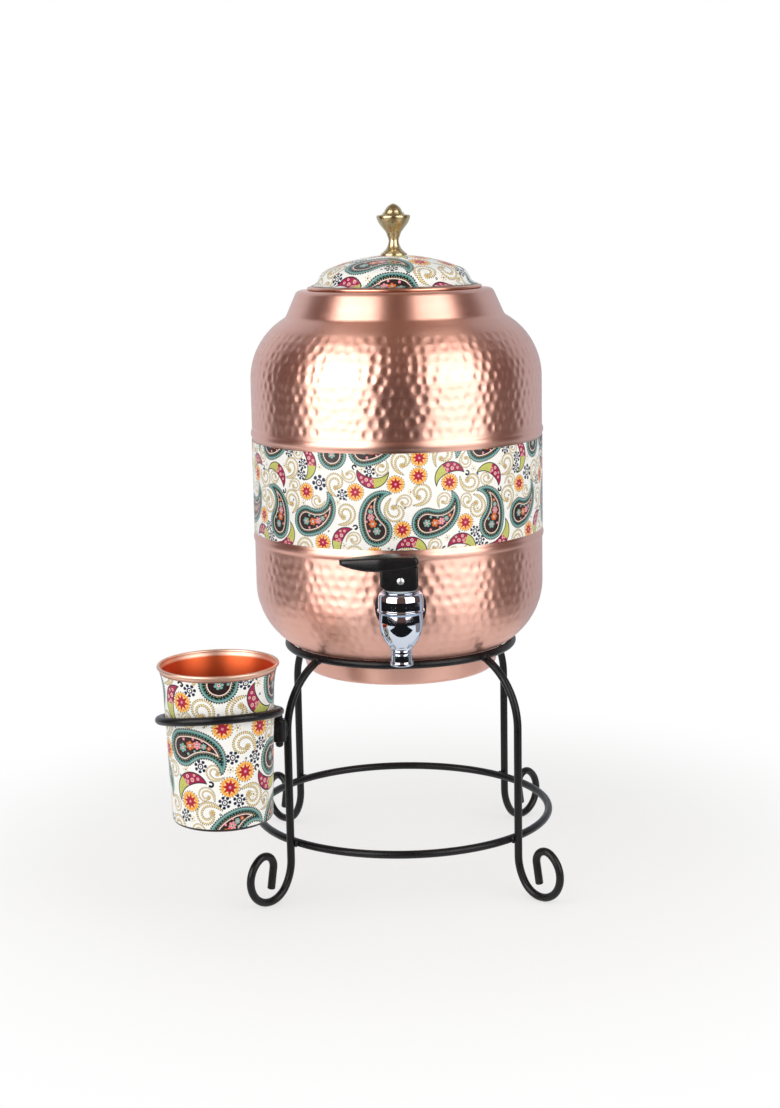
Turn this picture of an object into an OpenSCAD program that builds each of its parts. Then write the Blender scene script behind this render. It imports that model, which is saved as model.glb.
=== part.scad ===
// Copper water dispenser: a two-shell copper pot with a lift-off lid and a lever tap,
// on a bent-wire stand that carries a tumbler in a swinging wire holder.
// Millimetres, +Z up. The origin is on the floor under the pot's axis, the tap faces -Y.

/* [Pot] */
// Outer radius of the straight wall
pot_r = 93; // [84:1:102]
// Height of the straight wall
straight_h = 131; // [115:1:150]
// Outer radius of the bends below and above the straight wall
bend_r = 45; // [40:1:50]
// Thickness of the copper sheet
sheet = 1; // [0.8:0.1:1.4]
// Height of the brazed seam above the bottom of the straight wall
seam_h = 64; // [52:1:76]

/* [Neck and foot] */
// Height of the mouth's flat rim above the straight wall
neck_h = 56.2; // [54:0.2:64]
// Radius at which the neck would meet the rim if it had a sharp edge
neck_r = 62.2; // [60:0.2:66]
// Lean of the neck from upright
neck_lean = 24; // [16:1:30]
// Hollow fillet between the shoulder and the neck
neck_fillet = 5; // [3:0.5:7]
// Rounding of the mouth's outer edge
rim_round = 4; // [2.5:0.5:5]
// Radius of the mouth
mouth_r = 52; // [50:0.5:53]
// Depth of the foot's flat underside below the straight wall
foot_h = 56.7; // [54:0.2:64]
// Radius at which the foot would meet its underside if it had a sharp edge
foot_r = 61.4; // [58:0.2:64]
// Lean of the foot from upright
foot_lean = 15; // [10:1:20]
// Hollow fillet between the bowl and the foot
foot_fillet = 3; // [2:0.5:5]
// Rounding of the foot's lower edge
foot_round = 3.5; // [2:0.5:5]

/* [Beads and print] */
// Height of the lower bead above the bottom of the straight wall
low_bead_h = 31; // [26:0.5:36]
// Height of the upper bead above the bottom of the straight wall
high_bead_h = 97.5; // [92:0.5:104]
// Width of a bead
bead_w = 5; // [4:0.5:6]
// How far a bead stands out from the wall
bead_out = 0.8; // [0.5:0.1:1.2]
// Bare copper left between a bead and the printed band
band_margin = 1.5; // [0.5:0.5:4]
// Thickness of a printed enamel coat
print_t = 0.25; // [0.15:0.05:0.4]

/* [Lid] */
// Radius of the lid's rim
lid_r = 55.4; // [54:0.2:57]
// Radius of the dome where it springs from the flange
dome_r = 48.2; // [46:0.2:49]
// Rise of the dome above its springing line
dome_h = 17.5; // [15:0.5:20]
// Radius of the dome's crown
crown_r = 110; // [100:1:130]
// Height of the springing line above the lid's underside
spring_h = 3.3; // [2.8:0.1:4.5]
// Hollow fillet between the dome and the flange
flange_fillet = 5; // [4:0.5:6]
// Fall of the flange below level
flange_fall = 18; // [12:1:22]
// Radius of the rolled edge
lid_edge_r = 0.9; // [0.8:0.1:1.2]
// Thickness of the lid's sheet
lid_t = 0.8; // [0.6:0.1:1]
// Depth of the skirt that drops into the mouth
skirt_h = 9; // [6:0.5:14]
// Gap between the skirt and the mouth
skirt_gap = 0.5; // [0.3:0.1:1]

/* [Finial] */
// Height of the finial
finial_h = 32.2; // [29:0.2:38]
// Radius of the finial's base
finial_base_r = 8.4; // [8:0.2:10]
// Radius of the finial's neck
finial_neck_r = 3.2; // [3:0.1:4]
// Radius of the finial's head
finial_head_r = 10.7; // [9.5:0.1:11.5]
// Radius of the screw that holds the finial
screw_r = 2; // [1.5:0.25:2.5]

/* [Stand] */
// Diameter of the stand's wire
wire_d = 5; // [4:0.5:6]
// Radius of the upper ring, at the middle of its wire
ring_r = 73; // [70:0.5:76]
// Height of the upper ring, at the middle of its wire
ring_z = 150; // [140:1:165]
// Radius at which the legs stand, at the middle of their wire
leg_r = 101.4; // [98:0.2:106]
// Radius of the bend at the top of a leg
leg_bend_r = 45; // [40:1:50]
// Sweep of the bend at the top of a leg
leg_bend = 60; // [55:1:66]
// Height of the lower ring, at the middle of its wire
low_ring_z = 35.5; // [31:0.5:50]
// Radius of a scroll foot's first arc, where it leaves the upright
scroll_r1 = 28; // [24:0.5:32]
// Radius of a scroll foot's second arc, which rests on the floor
scroll_r2 = 15.8; // [14:0.2:18]
// Radius of a scroll foot's third arc, its curl
scroll_r3 = 7.5; // [7:0.1:9]
// Straight end of a scroll foot
scroll_tail = 14; // [8:0.5:15]
// Depth of the flat ground under each foot
foot_flat = 0.3; // [0.2:0.05:0.5]

/* [Tumbler holder] */
// Height of the sleeve's lower end
sleeve_z = 104; // [100:0.5:108]
// Length of the sleeve
sleeve_h = 14; // [12:0.5:18]
// Outer diameter of the sleeve
sleeve_d = 9; // [8.5:0.1:10]
// Length of the holder's pin below the sleeve
pin_out = 4; // [2:0.5:8]
// Radius of the bend between the pin and the arm
arm_bend_r = 8.5; // [7:0.5:9]
// Distance from the pin to the middle of the tumbler
arm_reach = 47.2; // [46:0.2:54]
// Rise of the ring towards its outer side
ring_rise = 5; // [0:1:8]
// Roll of the ring about its arm
ring_roll = 9; // [0:1:11]
// Gap between the tumbler and the ring at its tightest
ring_gap = 0.35; // [0.3:0.05:1]

/* [Tumbler] */
// Height of the tumbler
tumbler_h = 96.6; // [85:0.2:105]
// Height of the tumbler's underside
tumbler_z = 66; // [60:0.5:72]
// Radius of the side where it meets the base
tumbler_base_r = 30.1; // [29:0.1:31]
// Lean of the side from upright
tumbler_lean = 2; // [1:0.1:3]
// Height of the flare below the rim
flare_h = 16.6; // [12:0.2:20]
// Radius of the flare's curve
flare_r = 57; // [45:1:70]
// Rounding of the base's edge
tumbler_round = 3; // [2:0.5:4]
// Thickness of the tumbler's sheet
tumbler_t = 0.8; // [0.6:0.1:1]
// Radius of the rolled lip
lip_r = 1; // [0.9:0.1:1.3]

/* [Tap] */
// Height of the tap's shank above the bottom of the straight wall
shank_h = 0.6; // [-1:0.2:6]
// Distance from the pot's wall to the tap's upright axis
tap_out = 22; // [21:0.5:30]
// Outer radius of the shank
shank_r = 7.5; // [7:0.25:8.5]
// Radius of the shank's bore
inlet_r = 4.5; // [3.5:0.25:5]
// Length of the shank inside the pot
shank_in = 20; // [17:0.5:26]
// Radius of the flange behind the tap's head
flange_r = 13; // [11:0.5:14]
// Radius of the gasket outside the pot
gasket_r = 15.5; // [14:0.5:18]
// Thickness of each gasket at its middle
gasket_t = 4; // [3:0.5:6]
// Width of the shank nut across its flats
nut_af = 24; // [20:0.5:26]
// Length of the shank nut
nut_h = 7; // [5:0.5:9]
// Radius of the tap's bowl
bowl_r = 12.7; // [12.2:0.1:13.2]
// Radius of the curve down the tap's bowl
bowl_curve = 20.3; // [19:0.1:24]
// Radius of the lip between the bowl and the head
collar_r = 14.1; // [13.5:0.1:14.5]
// Radius of the head
head_r = 13.3; // [12.8:0.1:13.5]
// Height of the head above the shank's axis
head_up = 13.4; // [12.5:0.2:16]
// Rounding of the head's shoulder
shoulder_r = 2.4; // [1.5:0.1:2.8]
// Drop from the shank's axis to the spout's mouth
spout_drop = 31; // [30:0.5:36]
// Outer radius of the spout
spout_r = 7; // [6.4:0.1:8]
// Radius of the spout's bore
spout_bore_r = 4.6; // [4:0.1:4.8]
// Radius of the valve chamber
chamber_r = 8.6; // [8:0.1:9]

/* [Lever and valve] */
// Radius of the valve stem
stem_r = 3.5; // [3.3:0.1:3.8]
// Radius of the lever's pin
pin_r = 2.1; // [1.8:0.1:2.2]
// Height of the pin above the underside of the lever
pin_up = 6; // [5.5:0.1:7]
// Lift of the stem for each radian of the lever
cam_rate = 5.73; // [5:0.01:6.5]
// Width of the lever's block along the blade
block_l = 23; // [22:0.5:25]
// Height of the lever
lever_h = 20; // [18:0.5:24]
// Width of the lever across the blade
lever_w = 16; // [14.5:0.5:18]
// Reach of the blade's tip from the tap's axis
blade_l = 36; // [30:0.5:38]
// Radius of the silicone seat cup
cup_r = 6.6; // [6:0.1:7.5]

/* [Clearances] */
// Gap between pieces that rest on each other but move apart
seat_gap = 0.3; // [0.2:0.05:0.5]
// Radial gap of a pin that turns or slides in its bore
run_gap = 0.05; // [0.02:0.01:0.08]
// Gap between pieces fixed to each other
fix_gap = 0.02; // [0:0.01:0.05]

/* [Hidden] */

$fn = 96;
trim_fn = 360;
arc_step = 6;
cut = 1;
wire_r = wire_d / 2;

copper = [0.80, 0.56, 0.46];
bright_copper = [0.88, 0.50, 0.32];
brass = [0.83, 0.66, 0.30];
black_paint = [0.10, 0.10, 0.11];
black_plastic = [0.06, 0.06, 0.07];
rubber = [0.05, 0.05, 0.05];
chrome = [0.82, 0.84, 0.87];
steel = [0.75, 0.76, 0.78];
silicone = [0.85, 0.86, 0.84];
print_ground = [0.94, 0.93, 0.90];

// Heights on the pot, all above the floor
bend_in = pot_r - bend_r;
bowl_reach = bend_r + wire_r + seat_gap;
bowl_z = ring_z + sqrt(pow(bowl_reach, 2) - pow(ring_r - bend_in, 2));
shoulder_z = bowl_z + straight_h;
rim_z = shoulder_z + neck_h;
seam_z = bowl_z + seam_h;
low_bead_z = bowl_z + low_bead_h;
high_bead_z = bowl_z + high_bead_h;
band_low_z = low_bead_z + bead_w / 2 + band_margin;
band_high_z = high_bead_z - bead_w / 2 - band_margin;

// Points on an arc, evenly spaced from angle a0 to angle a1
function arc(c, r, a0, a1) =
    let (n = max(2, ceil(abs(a1 - a0) / arc_step)))
    [for (i = [0:n]) c + r * [cos(a0 + (a1 - a0) * i / n), sin(a0 + (a1 - a0) * i / n)]];
function reverse(list) = [for (i = [len(list) - 1:-1:0]) list[i]];
function lift(list, z) = [for (p = list) [p.x, p.y + z]];
function flip(list) = [for (p = list) [p.x, -p.y]];
function unit(a) = [cos(a), sin(a)];

// Revolves a sheet that lies between two paths
module sheet_of_revolution(outer, inner) {
    rotate_extrude() polygon(concat(outer, reverse(inner)));
}

// Pot

// Half outline from the bend's centre height out to the axis: the bend, a hollow fillet,
// the leaning collar, its rounded edge and the flat end. inset moves it inwards.
function end_path(inset, tip_r, tip_h, lean, fillet, rounding, inner_r) =
    let (
        n = unit(lean),
        k = n * [tip_r, tip_h],
        bend_c = [bend_in, 0],
        turn = lean + acos((k + fillet - n * bend_c) / (bend_r + fillet)),
        fillet_c = bend_c + (bend_r + fillet) * unit(turn),
        round_y = tip_h - rounding,
        round_c = [(k - rounding - n.y * round_y) / n.x, round_y]
    )
    concat(
        arc(bend_c, bend_r - inset, 0, turn),
        arc(fillet_c, fillet + inset, turn + 180, lean + 180),
        arc(round_c, rounding - inset, lean, 90),
        [[inner_r, tip_h - inset]]
    );

// A bead's curve, from its lower to its upper end
function bead_path(z, inset) =
    let (
        r = (pow(bead_w / 2, 2) + pow(bead_out, 2)) / (2 * bead_out),
        c = [pot_r + bead_out - r, z],
        half = acos((r - bead_out - inset) / (r - inset))
    )
    arc(c, r - inset, -half, half);

function upper_path(inset) = concat(
    [[pot_r - inset, seam_z]],
    bead_path(high_bead_z, inset),
    lift(end_path(inset, neck_r, neck_h, neck_lean, neck_fillet, rim_round, mouth_r), shoulder_z)
);

function lower_path(inset) = concat(
    [[pot_r - inset, seam_z]],
    reverse(bead_path(low_bead_z, inset)),
    lift(flip(end_path(inset, foot_r, foot_h, foot_lean, foot_fillet, foot_round, 0)), bowl_z)
);

// Solid inside a path of the lower shell, to cut or trim what seats on it
module lower_solid(inset) {
    rotate_extrude($fn = trim_fn) polygon(concat([[0, seam_z]], lower_path(inset)));
}

module upper_shell() {
    color(copper) sheet_of_revolution(upper_path(0), upper_path(sheet));
}

module lower_shell() {
    color(copper) difference() {
        sheet_of_revolution(lower_path(0), lower_path(sheet));
        along_shank(0, pot_r + cut) cylinder(r = shank_r + seat_gap, h = pot_r + cut);
    }
}

module band_print() {
    color(print_ground) rotate_extrude()
        translate([pot_r + fix_gap, band_low_z]) square([print_t, band_high_z - band_low_z]);
}

// Stand, drawn in the radial plane XZ

module wire_arc(c, r, a0, a1) {
    translate([c.x, 0, c.y]) rotate([90, 0, 0]) rotate([0, 0, min(a0, a1)])
        rotate_extrude(angle = abs(a1 - a0)) translate([r, 0]) circle(d = wire_d);
}

module wire_line(from, to) {
    translate([from.x, 0, from.y]) rotate([0, atan2(to.x - from.x, to.y - from.y), 0])
        cylinder(d = wire_d, h = norm(to - from));
}

// Slight swelling of the wire where a bend begins
module wire_knuckle(p) {
    translate([p.x, 0, p.y]) sphere(r = wire_r + fix_gap);
}

module wire_ring(r, z, d = wire_d) {
    translate([0, 0, z]) rotate_extrude() translate([r, 0]) circle(d = d);
}

leg_angle = [225, 315, 135, 45];
scroll_a1 = 217;
scroll_a2 = 420;
scroll_a3 = 550;
scroll_low_z = wire_r - foot_flat + scroll_r2;
scroll_c1 = [leg_r + scroll_r1, scroll_low_z - (scroll_r1 - scroll_r2) * sin(scroll_a1)];
scroll_c2 = scroll_c1 + (scroll_r1 - scroll_r2) * unit(scroll_a1);
scroll_c3 = scroll_c2 + (scroll_r2 - scroll_r3) * unit(scroll_a2);
scroll_end = scroll_c3 + scroll_r3 * unit(scroll_a3);
scroll_tip = scroll_end + scroll_tail * unit(scroll_a3 + 90);

// The leg's top bend ends on a straight that points at the upper ring's wire. Where the leg
// stands too near the ring for the whole bend, the bend is shorter and a straight is still left.
leg_lead = wire_r;
leg_room = asin((leg_r - ring_r - leg_bend_r) / norm([leg_bend_r, leg_lead]));
leg_sweep = min(leg_bend, atan2(leg_bend_r, leg_lead) + leg_room);
leg_dir = unit(leg_sweep + 90);
leg_top_x = leg_r - leg_bend_r + leg_bend_r * cos(leg_sweep);
leg_bend_z = ring_z - leg_bend_r * sin(leg_sweep) - (ring_r - leg_top_x) * leg_dir.y / leg_dir.x;
leg_bend_c = [leg_r - leg_bend_r, leg_bend_z];
leg_end = [ring_r, ring_z] - leg_dir * wire_r / 2;
leg_bend_top = leg_bend_c + leg_bend_r * unit(leg_sweep);
leg_knuckles = [
    leg_bend_top,
    [leg_r, leg_bend_z],
    [leg_r, scroll_c1.y],
    scroll_c1 + scroll_r1 * unit(scroll_a1),
    scroll_c2 + scroll_r2 * unit(scroll_a2),
    scroll_end
];
low_ring_r = leg_r - wire_d - fix_gap;

module leg(turn) {
    color(black_paint) rotate([0, 0, turn]) difference() {
        union() {
            wire_line(leg_bend_top, leg_end);
            wire_arc(leg_bend_c, leg_bend_r, 0, leg_sweep);
            wire_line([leg_r, scroll_c1.y], [leg_r, leg_bend_z]);
            wire_arc(scroll_c1, scroll_r1, 180, scroll_a1);
            wire_arc(scroll_c2, scroll_r2, scroll_a1, scroll_a2);
            wire_arc(scroll_c3, scroll_r3, scroll_a2, scroll_a3);
            wire_line(scroll_end, scroll_tip);
            for (p = leg_knuckles) wire_knuckle(p);
        }
        wire_ring(ring_r, ring_z, wire_d + 2 * fix_gap);
        translate([leg_r, -wire_d, -wire_d]) cube([2 * scroll_r1, 2 * wire_d, wire_d]);
    }
}

module upper_ring() {
    color(black_paint) wire_ring(ring_r, ring_z);
}

module lower_ring() {
    color(black_paint) wire_ring(low_ring_r, low_ring_z);
}

// Tumbler holder, drawn along +X from the pot's axis and turned to the front left leg

holder_turn = leg_angle[0];
sleeve_r = leg_r + wire_r + sleeve_d / 2 + fix_gap;
sleeve_top = sleeve_z + sleeve_h;
tumbler_r = sleeve_r + arm_reach;
arm_z = sleeve_top + seat_gap + arm_bend_r;

// The ring clears the printed side at its high point, where the side is widest
ring_tilt = acos(cos(ring_rise) * cos(ring_roll));
side_at_arm = tumbler_base_r + print_t + fix_gap + (arm_z - tumbler_z) * tan(tumbler_lean);
ring_share = cos(ring_tilt) - 2 * sin(ring_tilt) * tan(tumbler_lean);
holder_ring_r = (side_at_arm + ring_gap) / ring_share + wire_r;
ring_z_mid = arm_z + holder_ring_r * sin(ring_rise);

module on_leg_side() {
    rotate([0, 0, holder_turn]) children();
}

module holder_sleeve() {
    color(black_paint) on_leg_side() translate([sleeve_r, 0, sleeve_z]) difference() {
        cylinder(d = sleeve_d, h = sleeve_h);
        translate([0, 0, -cut]) cylinder(r = wire_r + run_gap, h = sleeve_h + 2 * cut);
    }
}

module holder_wire() {
    pin_low = sleeve_z - pin_out;
    bend_low = sleeve_top + seat_gap;
    bend_c = [sleeve_r + arm_bend_r, bend_low];
    ring_near = [tumbler_r - holder_ring_r * cos(ring_rise), arm_z];
    color(black_paint) on_leg_side() {
        translate([sleeve_r, 0, pin_low + wire_r]) sphere(d = wire_d);
        wire_line([sleeve_r, pin_low + wire_r], [sleeve_r, bend_low]);
        wire_arc(bend_c, arm_bend_r, 90, 180);
        wire_line([bend_c.x, arm_z], ring_near);
        translate([tumbler_r, 0, ring_z_mid]) rotate([ring_roll, -ring_rise, 0])
            wire_ring(holder_ring_r, 0);
    }
}

// Tumbler

lip_y = tumbler_h - lip_r;
print_drop = 3;
flare_y = tumbler_h - flare_h;
flare_c = [tumbler_base_r + flare_y * tan(tumbler_lean), flare_y] + flare_r * unit(-tumbler_lean);
function flare_turn(y) = 180 + asin((flare_c.y - y) / flare_r);
print_turn = flare_turn(lip_y - print_drop);

// Flared side of the tumbler up to the top of its print. inset moves it inwards.
function side_path(inset) = arc(flare_c, flare_r + inset, 180 - tumbler_lean, print_turn);

// The whole tumbler, from the middle of its base to its lip
function tumbler_path(inset) =
    let (
        n = unit(-tumbler_lean),
        round_c = [(tumbler_base_r * n.x - tumbler_round - n.y * tumbler_round) / n.x, tumbler_round]
    )
    concat(
        [[0, inset]],
        arc(round_c, tumbler_round - inset, -90, -tumbler_lean),
        side_path(inset),
        arc(flare_c, flare_r + inset, print_turn, flare_turn(lip_y))
    );

// The printed part of the side, from just above the base's rounded edge
function print_path(inset) =
    let (low = tumbler_round + print_t)
    concat(
        [[tumbler_base_r + low * tan(tumbler_lean) - inset / cos(tumbler_lean), low]],
        side_path(inset)
    );

module at_tumbler() {
    on_leg_side() translate([tumbler_r, 0, tumbler_z]) children();
}

module tumbler_cup() {
    outer = tumbler_path(0);
    lip_c = [outer[len(outer) - 1].x, lip_y];
    color(bright_copper) at_tumbler() rotate_extrude() union() {
        polygon(concat(outer, reverse(tumbler_path(tumbler_t))));
        translate(lip_c) circle(r = lip_r);
    }
}

module tumbler_print() {
    color(print_ground) at_tumbler()
        sheet_of_revolution(print_path(-fix_gap - print_t), print_path(-fix_gap));
}

// Tap, on an upright axis in front of the pot

shank_z = bowl_z + shank_h;
tap_y = pot_r + tap_out;
flange_y = pot_r + gasket_t;
flange_t = 2.5;
head_top = shank_z + head_up;
collar_up = 0.5;
collar_z = shank_z + collar_up;
collar_h = 0.8;
shoulder_out = 0.4;
spout_z = shank_z - spout_drop;
spout_lip_h = 1.8;
spout_step = 0.5;
spout_groove_r = 0.5;
spout_grooves = [7.4, 9.9];
bowl_straight = 4;
bowl_mid_z = collar_z - bowl_straight;
valve_seat_drop = 8.5;
valve_seat_z = shank_z - inlet_r - valve_seat_drop;
bonnet_lip = 0.8;
bonnet_plug_h = 5;
slip_t = 0.6;
slip_margin = 0.4;
bonnet_top = head_top + bonnet_lip;
lever_z = bonnet_top + slip_t + seat_gap;
pin_z = lever_z + pin_up;

// Lays children along the shank, over a length that ends this far in front of the pot's axis
module along_shank(end, length) {
    translate([0, -end - length, shank_z]) rotate([-90, 0, 0]) children();
}

module at_tap() {
    translate([0, -tap_y, 0]) children();
}

module tap_body() {
    bowl_c = [bowl_r - bowl_curve, bowl_mid_z];
    bowl_low = -acos((spout_r - spout_step - bowl_c.x) / bowl_curve);
    shoulder_c = [head_r + shoulder_out - shoulder_r, head_top - shoulder_r];
    outline = concat(
        [
            [0, spout_z],
            [spout_r, spout_z],
            [spout_r, spout_z + spout_lip_h],
            [spout_r - spout_step, spout_z + spout_lip_h + spout_step]
        ],
        [for (up = spout_grooves) each arc([spout_r - spout_step, spout_z + up], spout_groove_r, 270, 90)],
        arc(bowl_c, bowl_curve, bowl_low, 0),
        [
            [bowl_r, collar_z],
            [collar_r, collar_z + collar_r - bowl_r],
            [collar_r, collar_z + collar_r - bowl_r + collar_h],
            [head_r, collar_z + collar_r - bowl_r + collar_h + collar_r - head_r]
        ],
        arc(shoulder_c, shoulder_r, -acos((head_r - shoulder_c.x) / shoulder_r), 90),
        [[0, head_top]]
    );
    color(chrome) difference() {
        union() {
            at_tap() rotate_extrude() polygon(outline);
            along_shank(pot_r - shank_in, tap_out + shank_in)
                cylinder(r = shank_r, h = tap_out + shank_in);
            along_shank(flange_y, flange_t) cylinder(r = flange_r, h = flange_t);
        }
        at_tap() translate([0, 0, valve_seat_z])
            cylinder(r = chamber_r, h = head_top + cut - valve_seat_z);
        at_tap() translate([0, 0, spout_z - cut])
            cylinder(r = spout_bore_r, h = valve_seat_z + 2 * cut - spout_z);
        along_shank(pot_r - shank_in - cut, tap_out + shank_in + cut)
            cylinder(r = inlet_r, h = tap_out + shank_in + cut);
    }
}

module tap_bonnet() {
    lip_r_out = head_r + shoulder_out - shoulder_r;
    color(chrome) at_tap() translate([0, 0, head_top]) difference() {
        union() {
            translate([0, 0, fix_gap]) cylinder(r = lip_r_out, h = bonnet_lip - fix_gap);
            translate([0, 0, -bonnet_plug_h])
                cylinder(r = chamber_r - fix_gap, h = bonnet_plug_h + bonnet_lip);
        }
        translate([0, 0, -bonnet_plug_h - cut])
            cylinder(r = stem_r + run_gap, h = bonnet_plug_h + bonnet_lip + 2 * cut);
    }
}

module outer_gasket() {
    color(rubber) difference() {
        along_shank(bend_in, flange_y - bend_in) cylinder(r = gasket_r, h = flange_y - bend_in);
        lower_solid(-fix_gap);
        along_shank(bend_in, flange_y) cylinder(r = shank_r + fix_gap, h = flange_y);
    }
}

nut_face_y = pot_r - sheet - gasket_t;
nut_sides = 6;

module inner_gasket() {
    color(rubber) difference() {
        intersection() {
            along_shank(nut_face_y, gasket_t + sheet) cylinder(d = nut_af, h = gasket_t + sheet);
            lower_solid(sheet + fix_gap);
        }
        along_shank(0, flange_y) cylinder(r = shank_r + fix_gap, h = flange_y);
    }
}

module shank_nut() {
    color(black_plastic) along_shank(nut_face_y - nut_h - fix_gap, nut_h) difference() {
        cylinder(d = nut_af / cos(180 / nut_sides), h = nut_h, $fn = nut_sides);
        translate([0, 0, -cut]) cylinder(r = shank_r + fix_gap, h = nut_h + 2 * cut);
    }
}

module slip_washer() {
    color(silicone) at_tap() translate([0, 0, bonnet_top + fix_gap]) difference() {
        cylinder(r = chamber_r - slip_margin, h = slip_t - fix_gap);
        translate([0, 0, -cut]) cylinder(r = stem_r + run_gap, h = slip_t + 2 * cut);
    }
}

cup_h = 7;
stem_foot_z = valve_seat_z + seat_gap + cup_h;
stem_foot_h = 1.5;
nub_r = 2;
nub_h = 4;
cup_taper = 1.4;
cup_rim_h = 2.3;
stem_foot_in = 1;

module valve_stem() {
    color(silicone) at_tap() difference() {
        union() {
            translate([0, 0, stem_foot_z - nub_h]) cylinder(r = nub_r, h = nub_h + cut);
            translate([0, 0, stem_foot_z]) cylinder(r = cup_r - stem_foot_in, h = stem_foot_h);
            translate([0, 0, stem_foot_z]) cylinder(r = stem_r, h = pin_z - stem_foot_z);
            translate([0, 0, pin_z]) sphere(r = stem_r);
        }
        translate([0, stem_r + cut, pin_z]) rotate([90, 0, 0])
            cylinder(r = pin_r + run_gap, h = 2 * stem_r + 2 * cut);
    }
}

module seat_cup() {
    color(silicone) at_tap() translate([0, 0, valve_seat_z + seat_gap]) difference() {
        rotate_extrude() polygon([
            [0, 0],
            [cup_r, 0],
            [cup_r, cup_rim_h],
            [cup_r - cup_taper, cup_h - fix_gap],
            [0, cup_h - fix_gap]
        ]);
        translate([0, 0, cup_h - nub_h - fix_gap]) cylinder(r = nub_r + fix_gap, h = nub_h + cut);
    }
}

// Lever, drawn in XZ about its pin with the blade towards -X

// Underside of the block: level at rest, then a curve whose height below the pin grows
// evenly with the lever's angle, so the lever stays on its washer as it lifts the stem
cam_end = 50;
function cam_path() = [
    for (a = [0:arc_step:cam_end])
        let (h = pin_up + cam_rate * a * PI / 180)
        [-h * sin(a) - cam_rate * cos(a), -h * cos(a) + cam_rate * sin(a)]
];

block_front = -cam_path()[len(cam_path()) - 1].x;
block_back = block_l - block_front;
back_round = 4;
top_h = lever_h - pin_up;
blade_root_t = 8.5;
blade_tip_t = 1.6;
blade_droop = 2.4;
blade_sag = 0.6;
blade_crown = 0.7;
blade_tip_r = 4;
blade_tip_turn = 7;
blade_steps = 8;

// Bowed edge of the blade between two points
function blade_curve(x0, y0, x1, y1, bulge) = [
    for (i = [0:blade_steps])
        let (t = i / blade_steps)
        [x0 + (x1 - x0) * t, y0 + (y1 - y0) * t - bulge * 4 * t * (1 - t)]
];

module lever_side() {
    cam = cam_path();
    root = [-block_front, top_h - blade_root_t];
    tip_y = top_h - blade_droop;
    polygon(concat(
        cam,
        blade_curve(root.x, root.y, -blade_l, tip_y - blade_tip_t, blade_sag),
        blade_curve(-blade_l, tip_y, block_back - back_round, top_h, -blade_crown),
        arc([block_back - back_round, top_h - back_round], back_round, 90, 0),
        arc([block_back - back_round, back_round - pin_up], back_round, 0, -90)
    ));
}

// Plan of the lever: a square block that runs into a rounded, narrowing blade
module lever_plan() {
    translate([-block_front, -lever_w / 2]) square([block_l, lever_w]);
    polygon(concat(
        [[-block_front, -lever_w / 2], [-block_front, lever_w / 2]],
        arc([-blade_l + blade_tip_r, 0], blade_tip_r, 90 + blade_tip_turn, 270 - blade_tip_turn)
    ));
}

slot_gap = 0.4;

module lever() {
    slot_w = 2 * (stem_r + slot_gap);
    color(black_plastic) at_tap() translate([0, 0, pin_z]) difference() {
        intersection() {
            translate([0, lever_w / 2, 0]) rotate([90, 0, 0]) linear_extrude(lever_w) lever_side();
            translate([0, 0, -pin_up - cut]) linear_extrude(lever_h + 2 * cut) lever_plan();
        }
        translate([-block_l, -slot_w / 2, -pin_up - cut])
            cube([block_l + stem_r + slot_gap, slot_w, pin_up + cut + stem_r + slot_gap]);
        translate([0, lever_w, 0]) rotate([90, 0, 0]) cylinder(r = pin_r + fix_gap, h = 2 * lever_w);
    }
}

module lever_pin() {
    color(steel) at_tap() translate([0, lever_w / 2, pin_z]) rotate([90, 0, 0])
        cylinder(r = pin_r, h = lever_w);
}

// Lid

lid_z = rim_z + seat_gap;
spring_z = lid_z + spring_h;
crown_c = [0, spring_z + dome_h - crown_r];
dome_chord = pow(crown_r, 2) - pow(crown_r - dome_h, 2) - pow(dome_r, 2);
dome_edge_r = dome_chord / (2 * (crown_r - dome_r));
dome_edge_c = [dome_r - dome_edge_r, spring_z];
crown_turn = atan2(dome_edge_c.y - crown_c.y, dome_edge_c.x);
dome_foot_turn = 17;
flange_c = dome_edge_c + (dome_edge_r + flange_fillet) * unit(dome_foot_turn);
function crown_z(r) = crown_c.y + sqrt(pow(crown_r, 2) - pow(r, 2));

lid_edge_x = lid_r - lid_edge_r;
screw_gap = 0.2;
screw_hole_r = screw_r + screw_gap;
hole_turn = acos(screw_hole_r / crown_r);
base_turn = acos((finial_base_r + fix_gap) / crown_r);

// Top of the lid from the edge of the finial's base out to radius outer_r. inset moves it downwards.
function outer_lid_path(inset, outer_r) =
    let (flange_start = flange_c - (flange_fillet + inset) * unit(90 - flange_fall))
    concat(
        arc(crown_c, crown_r - inset, base_turn, crown_turn),
        arc(dome_edge_c, dome_edge_r - inset, crown_turn, dome_foot_turn),
        arc(flange_c, flange_fillet + inset, dome_foot_turn + 180, 270 - flange_fall),
        [[outer_r, flange_start.y - (outer_r - flange_start.x) * tan(flange_fall)]]
    );

// The whole top of the lid, from its screw hole
function lid_path(inset, outer_r) =
    concat(arc(crown_c, crown_r - inset, hole_turn, base_turn), outer_lid_path(inset, outer_r));

module lid_shell() {
    edge = arc([lid_edge_x, lid_z + lid_edge_r], lid_edge_r, 90 - flange_fall, -180);
    inner = lid_path(lid_t, lid_edge_x - lid_edge_r - lid_t / 2);
    color(copper) sheet_of_revolution(concat(lid_path(0, lid_edge_x), edge), inner);
}

module lid_print() {
    outer_r = lid_edge_x - 2 * lid_edge_r;
    top = outer_lid_path(-fix_gap - print_t, outer_r);
    color(print_ground) sheet_of_revolution(top, outer_lid_path(-fix_gap, outer_r));
}

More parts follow.
